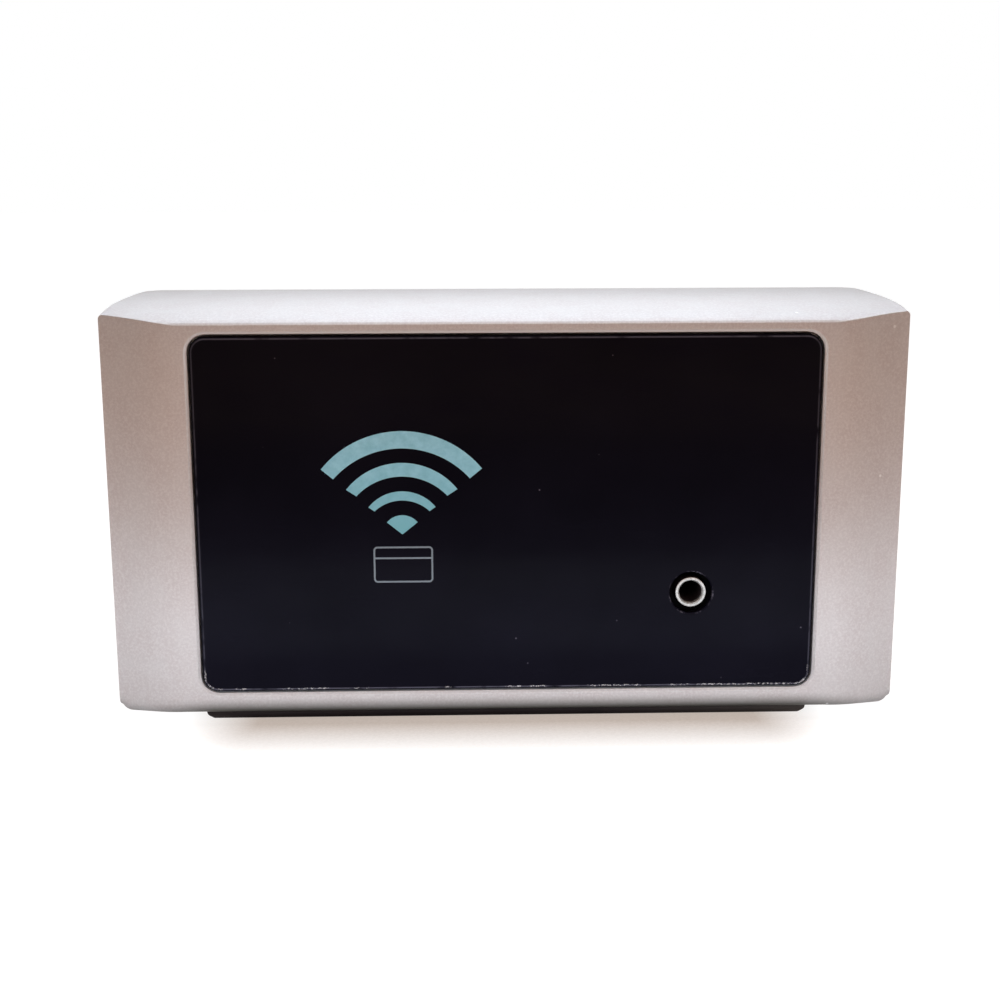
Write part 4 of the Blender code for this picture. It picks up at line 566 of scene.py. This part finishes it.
def make_finishes():
    """One material for each slot of the record."""
    lengthwise = (0.05, 1.0, 1.0)
    upward = (1.0, 1.0, 0.05)
    inward = (1.0, 0.08, 1.0)
    evenly = (1.0, 1.0, 1.0)
    return {
        "housing_metal": make_housing_paint(),
        "black_panel": make_panel_acrylic(),
        "seal_foam": make_moulded_plastic("seal_foam", (30, 30, 32), (40, 40, 42), 0.85, 1500.0),
        "bright_steel": make_satin_nickel(),
        "plated_steel": make_metal("zinc_plated_steel", (176, 178, 180), (202, 203, 204), 0.36, lengthwise),
        "dark_plastic": make_moulded_plastic("dark_plastic", (26, 20, 21), (36, 29, 30), 0.60,
                                             specular=0.15),
        "frame_plastic": make_moulded_plastic("frame_plastic", (70, 71, 74), (82, 83, 86), 0.55),
        "green_board": make_board_resist(),
        "copper": make_metal("copper", (196, 116, 72), (220, 142, 98), 0.32, evenly),
        "nickel": make_metal("nickel_strip", (186, 184, 176), (208, 206, 198), 0.30, upward),
        "brass": make_metal("turned_brass", (198, 164, 92), (220, 188, 120), 0.30, inward),
        "chip_plastic": make_moulded_plastic("chip_plastic", (24, 24, 26), (32, 32, 34), 0.60, 4000.0),
        "white_plastic": make_moulded_plastic("white_plastic", (222, 220, 212), (232, 230, 224), 0.45),
        "led_lens": make_moulded_plastic("light_lens", (226, 232, 222), (238, 242, 234), 0.20, 600.0),
        "cell_jacket": make_cell_jacket(),
        "gear_plastic": make_moulded_plastic("gear_plastic", (226, 218, 196), (234, 228, 210), 0.42),
        "red_lead": make_moulded_plastic("red_lead_cover", (172, 34, 30), (188, 48, 42), 0.42),
        "black_lead": make_moulded_plastic("black_lead_cover", (26, 26, 28), (36, 36, 38), 0.42),
    }


# Modelling steps

def activate(piece):
    """Makes a piece the only selected one, and the active one."""
    bpy.ops.object.select_all(action='DESELECT')
    piece.select_set(True)
    bpy.context.view_layer.objects.active = piece


def named(piece, name):
    """Gives an object and its mesh one name."""
    piece.name = name
    piece.data.name = name


def settle(piece):
    """Puts the piece's place, turn and size into its mesh."""
    activate(piece)
    bpy.ops.object.transform_apply(location=True, rotation=True, scale=True)


def use_modifier(piece, kind, **settings):
    """Adds a modifier and applies it."""
    activate(piece)
    modifier = piece.modifiers.new("shape", kind)
    for key, value in settings.items():
        setattr(modifier, key, value)
    bpy.ops.object.modifier_apply(modifier=modifier.name)


def smooth(piece):
    """Smooth shading, with sharp edges where the faces turn."""
    activate(piece)
    bpy.ops.object.shade_smooth_by_angle(angle=SMOOTH_ANGLE)


def soften(piece, width, segments, angle=BEVEL_ANGLE):
    """Rounds the edges that turn by more than an angle, and shades the broad faces flat."""
    use_modifier(piece, 'BEVEL', width=width, segments=segments, limit_method='ANGLE', angle_limit=angle,
                 use_clamp_overlap=True, miter_outer='MITER_ARC')
    smooth(piece)
    use_modifier(piece, 'WEIGHTED_NORMAL', keep_sharp=True, weight=BROAD_FACE_WEIGHT)


def dress(piece, body, slot, material=None):
    """Gives a finished piece its material, picked by its slot unless one is given, and the body it rides
    on.
    """
    piece.data.materials.clear()
    piece.data.materials.append(material or finishes[slot])
    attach(piece, body)


def select_edges(piece, test):
    """In edit mode, selects only the edges whose two ends pass a test."""
    bpy.ops.mesh.select_mode(type='EDGE')
    bpy.ops.mesh.select_all(action='DESELECT')
    bpy.ops.object.mode_set(mode='OBJECT')
    places = piece.data.vertices
    for edge in piece.data.edges:
        edge.select = test(places[edge.vertices[0]].co, places[edge.vertices[1]].co)
    bpy.ops.object.mode_set(mode='EDIT')


def within(share):
    """A share held between 0 and 1."""
    return min(1.0, max(0.0, share))


def drawn_down(drop, heights):
    """A shaper that lowers the vertices between two heights, more at the tips and less at the rear."""
    def shape(piece):
        for vertex in piece.data.vertices:
            place = vertex.co
            if heights[0] < place.z < heights[1]:
                ahead = within((DROP_END_Y - place.y) / (DROP_END_Y - DROP_FULL_Y))
                outward = within((abs(place.x) - TIP_DROP_START_X) / (TIP_DROP_END_X - TIP_DROP_START_X))
                place.z -= (drop + TIP_DROP * outward) * ahead
    return shape


def copied(node_name, name, bevel, segments=2, shape=None, material=None):
    """A merged and softened copy of a frame solid, which stands for it."""
    source = frame["nodes"][node_name]
    piece = bpy.data.objects.new(name, source.data.copy())
    named(piece, name)
    bpy.context.scene.collection.objects.link(piece)
    activate(piece)
    if piece.data.has_custom_normals:
        bpy.ops.mesh.customdata_custom_splitnormals_clear()
    bpy.ops.object.mode_set(mode='EDIT')
    bpy.ops.mesh.select_all(action='SELECT')
    bpy.ops.mesh.remove_doubles(threshold=MERGE_DISTANCE)
    bpy.ops.mesh.dissolve_limited(angle_limit=FLAT_ANGLE)
    bpy.ops.object.mode_set(mode='OBJECT')
    if shape:
        shape(piece)
    soften(piece, bevel, segments)
    dress(piece, source["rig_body"], slot_of[node_name], material)
    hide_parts(node_name)


def flat_print(name, outline, ink):
    """A thin printed area on the panel: a filled outline of (x, z) points, given a thickness."""
    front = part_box("front_panel")[0].y + PANEL_SINK
    bpy.ops.mesh.primitive_circle_add(vertices=len(outline), radius=1.0, fill_type='NGON')
    piece = bpy.context.object
    named(piece, name)
    for vertex, (x, z) in zip(piece.data.vertices, outline):
        vertex.co = (x, front, z)
    activate(piece)
    bpy.ops.object.mode_set(mode='EDIT')
    bpy.ops.mesh.select_all(action='SELECT')
    bpy.ops.mesh.extrude_region_move(TRANSFORM_OT_translate={"value": (0.0, -PRINT_THICKNESS, 0.0)})
    bpy.ops.mesh.select_all(action='SELECT')
    bpy.ops.mesh.normals_make_consistent(inside=False)
    bpy.ops.object.mode_set(mode='OBJECT')
    dress(piece, "housing", "white_plastic", ink)


def turned_tube(name, centre, profile, slot):
    """A closed ring turned along Y: each corner of its profile is a radius and a depth."""
    bpy.ops.mesh.primitive_circle_add(vertices=RING_VERTICES, radius=profile[0][0], fill_type='NOTHING',
                                      location=(centre.x, profile[0][1], centre.z),
                                      rotation=(math.pi / 2, 0.0, 0.0))
    tube = bpy.context.object
    named(tube, name)
    settle(tube)
    bpy.ops.object.mode_set(mode='EDIT')
    bpy.ops.mesh.select_all(action='SELECT')
    for (before, start), (after, end) in zip(profile, profile[1:] + profile[:1]):
        bpy.ops.mesh.extrude_edges_move(TRANSFORM_OT_translate={"value": (0.0, end - start, 0.0)})
        bpy.ops.transform.resize(value=(after / before, 1.0, after / before), center_override=centre)
    bpy.ops.mesh.select_all(action='SELECT')
    bpy.ops.mesh.remove_doubles(threshold=MERGE_DISTANCE)
    bpy.ops.mesh.normals_make_consistent(inside=False)
    bpy.ops.object.mode_set(mode='OBJECT')
    smooth(tube)
    dress(tube, "housing", slot)
    return tube


# Pieces of the lock

def make_copies():
    """The outer solids, merged and softened."""
    copied("front_housing", "housing_shell", HOUSING_BEVEL, ROUND_BEVEL_STEPS,
           shape=drawn_down(HOUSING_DROP, HOUSING_DROP_HEIGHTS))
    # The tray plastic, with painted light that makes it lighter towards its right end
    painted_lit_end = make_moulded_plastic("tray_plastic", (36, 28, 28), (46, 38, 37), 0.60, specular=0.15,
                                 painted_end_light=(72, 64, 59))
    copied("battery_tray", "tray_body", TRAY_BEVEL, shape=drawn_down(TRAY_DROP, TRAY_DROP_HEIGHTS),
           material=painted_lit_end)
    copied("back_plate", "rear_plate", PLATE_BEVEL)
    copied("deadbolt", "bolt_bar", BOLT_BEVEL, ROUND_BEVEL_STEPS)
    for number in (1, 2, 3, 4):
        copied(f"back_plate_screw_{number}", f"rear_screw_{number}", SMALL_BEVEL)
    for number in (1, 2):
        copied(f"mounting_insert_{number}", f"door_insert_{number}", SMALL_BEVEL)
    matt = make_moulded_plastic("matt_black_plastic", (4, 4, 5), (8, 8, 9), 0.8, specular=0.05)
    copied("jack_body", "jack_block", SMALL_BEVEL, material=matt)
    copied("setup_button", "setup_key", SMALL_BEVEL)


def make_jack():
    """The jack's bright sleeve with its rounded lip, and the dark lining and collar behind it."""
    low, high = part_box("jack_barrel")
    centre = jack_centre()
    radius = (high.x - low.x) / 2
    front, rear = low.y, high.y
    rim = front + RIM_DEPTH
    step = front + SLEEVE_LENGTH
    neck = radius - RIM_OVERHANG
    wall = RING_BORE + RING_EDGE
    sleeve = ((RING_BORE, step), (RING_BORE, front + MOUTH_DEPTH),
              (RING_MOUTH - RING_EDGE / 4, front + RING_EDGE / 4), (RING_MOUTH, front),
              (radius - RING_EDGE, front), (radius - RING_EDGE / 3, front + RING_EDGE / 3),
              (radius, front + RING_EDGE), (radius, rim), (neck, rim), (neck, rear),
              (wall, rear), (wall, step))
    ring = turned_tube("jack_ring", centre, sleeve, "bright_steel")
    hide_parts("jack_barrel")
    outer = radius - RIM_OVERHANG / 4
    collar = ((neck, rear), (neck, rim), (outer, rim), (outer, rear))
    turned_tube("jack_collar", centre, collar, "dark_plastic")
    lining = ((LINING_BORE, rear), (LINING_BORE, step + RING_EDGE), (LINING_BORE + RING_EDGE, step),
              (wall, step), (wall, rear))
    turned_tube("jack_lining", centre, lining, "dark_plastic")


def make_reader_panel():
    """The black panel: rounded corners, a soft front edge and the round hole before the jack."""
    low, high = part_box("front_panel")
    low.y += PANEL_SINK
    depth = high.y - low.y
    bpy.ops.mesh.primitive_cube_add(size=1.0, location=(low + high) / 2)
    panel = bpy.context.object
    named(panel, "reader_panel")
    panel.scale = high - low
    settle(panel)
    bpy.ops.object.mode_set(mode='EDIT')
    select_edges(panel, lambda a, b: abs(a.y - b.y) > depth / 2)
    bpy.ops.mesh.bevel(offset=PANEL_CORNER, segments=PANEL_CORNER_STEPS, affect='EDGES')
    bpy.ops.object.mode_set(mode='OBJECT')
    centre = jack_centre()
    bpy.ops.mesh.primitive_cylinder_add(vertices=RING_VERTICES, radius=HOLE_RADIUS, depth=DRILL_LENGTH,
                                        location=(centre.x, low.y, centre.z),
                                        rotation=(math.pi / 2, 0.0, 0.0))
    drill = bpy.context.object
    settle(drill)
    use_modifier(panel, 'BOOLEAN', object=drill, operation='DIFFERENCE', solver='EXACT')
    bpy.data.objects.remove(drill)
    soften(panel, PANEL_BEVEL, PANEL_BEVEL_STEPS, PANEL_BEVEL_ANGLE)
    dress(panel, "housing", "black_panel")
    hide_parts("front_panel")


def arc_points(radius, centre_z, half_angle, steps):
    """Points on an arc over the sign's middle, from its left end to its right."""
    points = []
    for step in range(steps + 1):
        angle = half_angle * (2 * step / steps - 1)
        points.append((SIGN_X + radius * math.sin(angle), centre_z + radius * math.cos(angle)))
    return points


def card_points(margin):
    """The card's rounded outline, drawn in by a margin."""
    corner = CARD_CORNER - margin
    points = []
    for turn, (side, rise) in enumerate(((1, 1), (-1, 1), (-1, -1), (1, -1))):
        middle_x = CARD_CENTRE[0] + side * (CARD_HALF_WIDTH - CARD_CORNER)
        middle_z = CARD_CENTRE[1] + rise * (CARD_HALF_HEIGHT - CARD_CORNER)
        for step in range(CARD_CORNER_STEPS + 1):
            angle = math.pi / 2 * (turn + step / CARD_CORNER_STEPS)
            points.append((middle_x + corner * math.cos(angle), middle_z + corner * math.sin(angle)))
    return points


def make_sign():
    """The printed sign: three arcs and a wedge over the outline of a card with its stripe."""
    cyan = make_ink("pale_cyan_ink", (166, 228, 247), (144, 210, 229), (122, 186, 196))
    grey = make_ink("grey_ink", (150, 168, 172), (128, 148, 152), (124, 134, 142))
    for name, outer, inner in ARCS:
        flat_print(name, arc_points(*outer, ARC_STEPS) + arc_points(*inner, ARC_STEPS)[::-1], cyan)
    wedge = arc_points(WEDGE_RADIUS, WEDGE_CENTRE_Z, WEDGE_HALF_ANGLE, WEDGE_STEPS)
    flat_print("signal_wedge", wedge + [(SIGN_X, WEDGE_CENTRE_Z)], cyan)
    card = card_points(0.0)
    inset = card_points(CARD_LINE)
    flat_print("card_outline", card + [card[0]] + [inset[0]] + inset[::-1], grey)
    half_width = CARD_HALF_WIDTH - CARD_LINE
    left, right = CARD_CENTRE[0] - half_width, CARD_CENTRE[0] + half_width
    bottom, top = STRIPE_Z - CARD_LINE / 2, STRIPE_Z + CARD_LINE / 2
    flat_print("card_stripe", [(left, bottom), (right, bottom), (right, top), (left, top)], grey)


# Scene

def make_camera():
    """The camera of the photograph."""
    data = bpy.data.cameras.new("camera")
    data.lens = CAMERA_LENS
    data.sensor_width = CAMERA_SENSOR
    data.sensor_fit = 'HORIZONTAL'
    data.clip_start = CAMERA_CLIP_START
    camera = bpy.data.objects.new("camera", data)
    bpy.context.scene.collection.objects.link(camera)
    ahead = Vector((math.sin(CAMERA_YAW) * math.cos(CAMERA_PITCH),
                    math.cos(CAMERA_YAW) * math.cos(CAMERA_PITCH), -math.sin(CAMERA_PITCH)))
    level = Vector((math.cos(CAMERA_YAW), -math.sin(CAMERA_YAW), 0.0))
    above = level.cross(ahead)
    right = math.cos(CAMERA_ROLL) * level + math.sin(CAMERA_ROLL) * above
    top = -math.sin(CAMERA_ROLL) * level + math.cos(CAMERA_ROLL) * above
    turn = Matrix((right, top, -ahead)).transposed().to_4x4()
    camera.matrix_world = Matrix.Translation(CAMERA_PLACE) @ turn
    bpy.context.scene.camera = camera


def make_lamps():
    """Soft lamps, each aimed at the lock."""
    for lamp in LAMPS:
        data = bpy.data.lights.new(lamp["name"], 'AREA')
        data.shape = 'RECTANGLE'
        data.size = lamp["width"]
        data.size_y = lamp["height"]
        data.energy = lamp["power"]
        data.color = lamp["colour"]
        light = bpy.data.objects.new(lamp["name"], data)
        light.location = lamp["place"]
        ahead = Vector(lamp["aim"]) - Vector(lamp["place"])
        light.rotation_euler = ahead.to_track_quat('-Z', 'Y').to_euler()
        light.visible_camera = False
        bpy.context.scene.collection.objects.link(light)


def make_world():
    """White behind the object, and an even soft light round it."""
    world = bpy.data.worlds.new("studio")
    world.use_nodes = True
    bpy.context.scene.world = world
    path = node(world, "ShaderNodeLightPath", {}).outputs
    seen = calculated(world, 'MAXIMUM', path["Is Camera Ray"], path["Is Glossy Ray"])
    seen = calculated(world, 'MAXIMUM', seen, path["Is Transmission Ray"])
    to_socket(world, mixed(world, seen, WORLD_FILL, WHITE), "Background", "Color")


def make_floor():
    """A plain white floor under the tray, white to the camera outside the painted shadow, a darker glow
    round the tray.
    """
    bpy.ops.mesh.primitive_plane_add(size=FLOOR_SIZE, location=(0.0, 0.0, cad_box[0][2] - FLOOR_GAP))
    floor = bpy.context.object
    named(floor, "floor")
    settle(floor)
    white = new_finish("white_floor", srgb(128, 121, 116), 0.9, specular=0.0)
    fibres = cloud(white, 2400.0, roughness=0.6)
    to_shader(white, mottled(white, fibres, (121, 114, 109), (135, 129, 125)), "Base Color")
    # Painted shadow: near the tray the glow is darker beige, and it turns white over the shadow's reach
    patch = place_on_object(white, SHADOW_SHARPNESS, SHADOW_SHIFT)
    clear = shaped(white, past_box(white, patch, SHADOW_HALF_SIZE), 0.0, SHADOW_REACH)
    path = node(white, "ShaderNodeLightPath", {}).outputs
    mirrored = calculated(white, 'MAXIMUM', path["Is Glossy Ray"], path["Is Transmission Ray"])
    shown = calculated(white, 'ADD', path["Is Camera Ray"], product(white, mirrored, clear))
    glow = node(white, "ShaderNodeEmission", {
        "Color": mixed(white, clear, PAINTED_SHADOW_GLOW, WHITE),
        "Strength": shown,
    })
    plain = white.node_tree.nodes["Principled BSDF"].outputs["BSDF"]
    both = node(white, "ShaderNodeAddShader", {0: plain, 1: glow.outputs["Emission"]})
    to_socket(white, both.outputs["Shader"], "Material Output", "Surface")
    floor.data.materials.append(white)


finishes = make_finishes()
make_camera()
for name, solid in frame["nodes"].items():
    solid.data.materials.clear()
    solid.data.materials.append(finishes[slot_of[name]])
make_copies()
make_jack()
make_reader_panel()
make_sign()
make_lamps()
make_world()
make_floor()
bpy.context.scene.view_settings.view_transform = 'Standard'
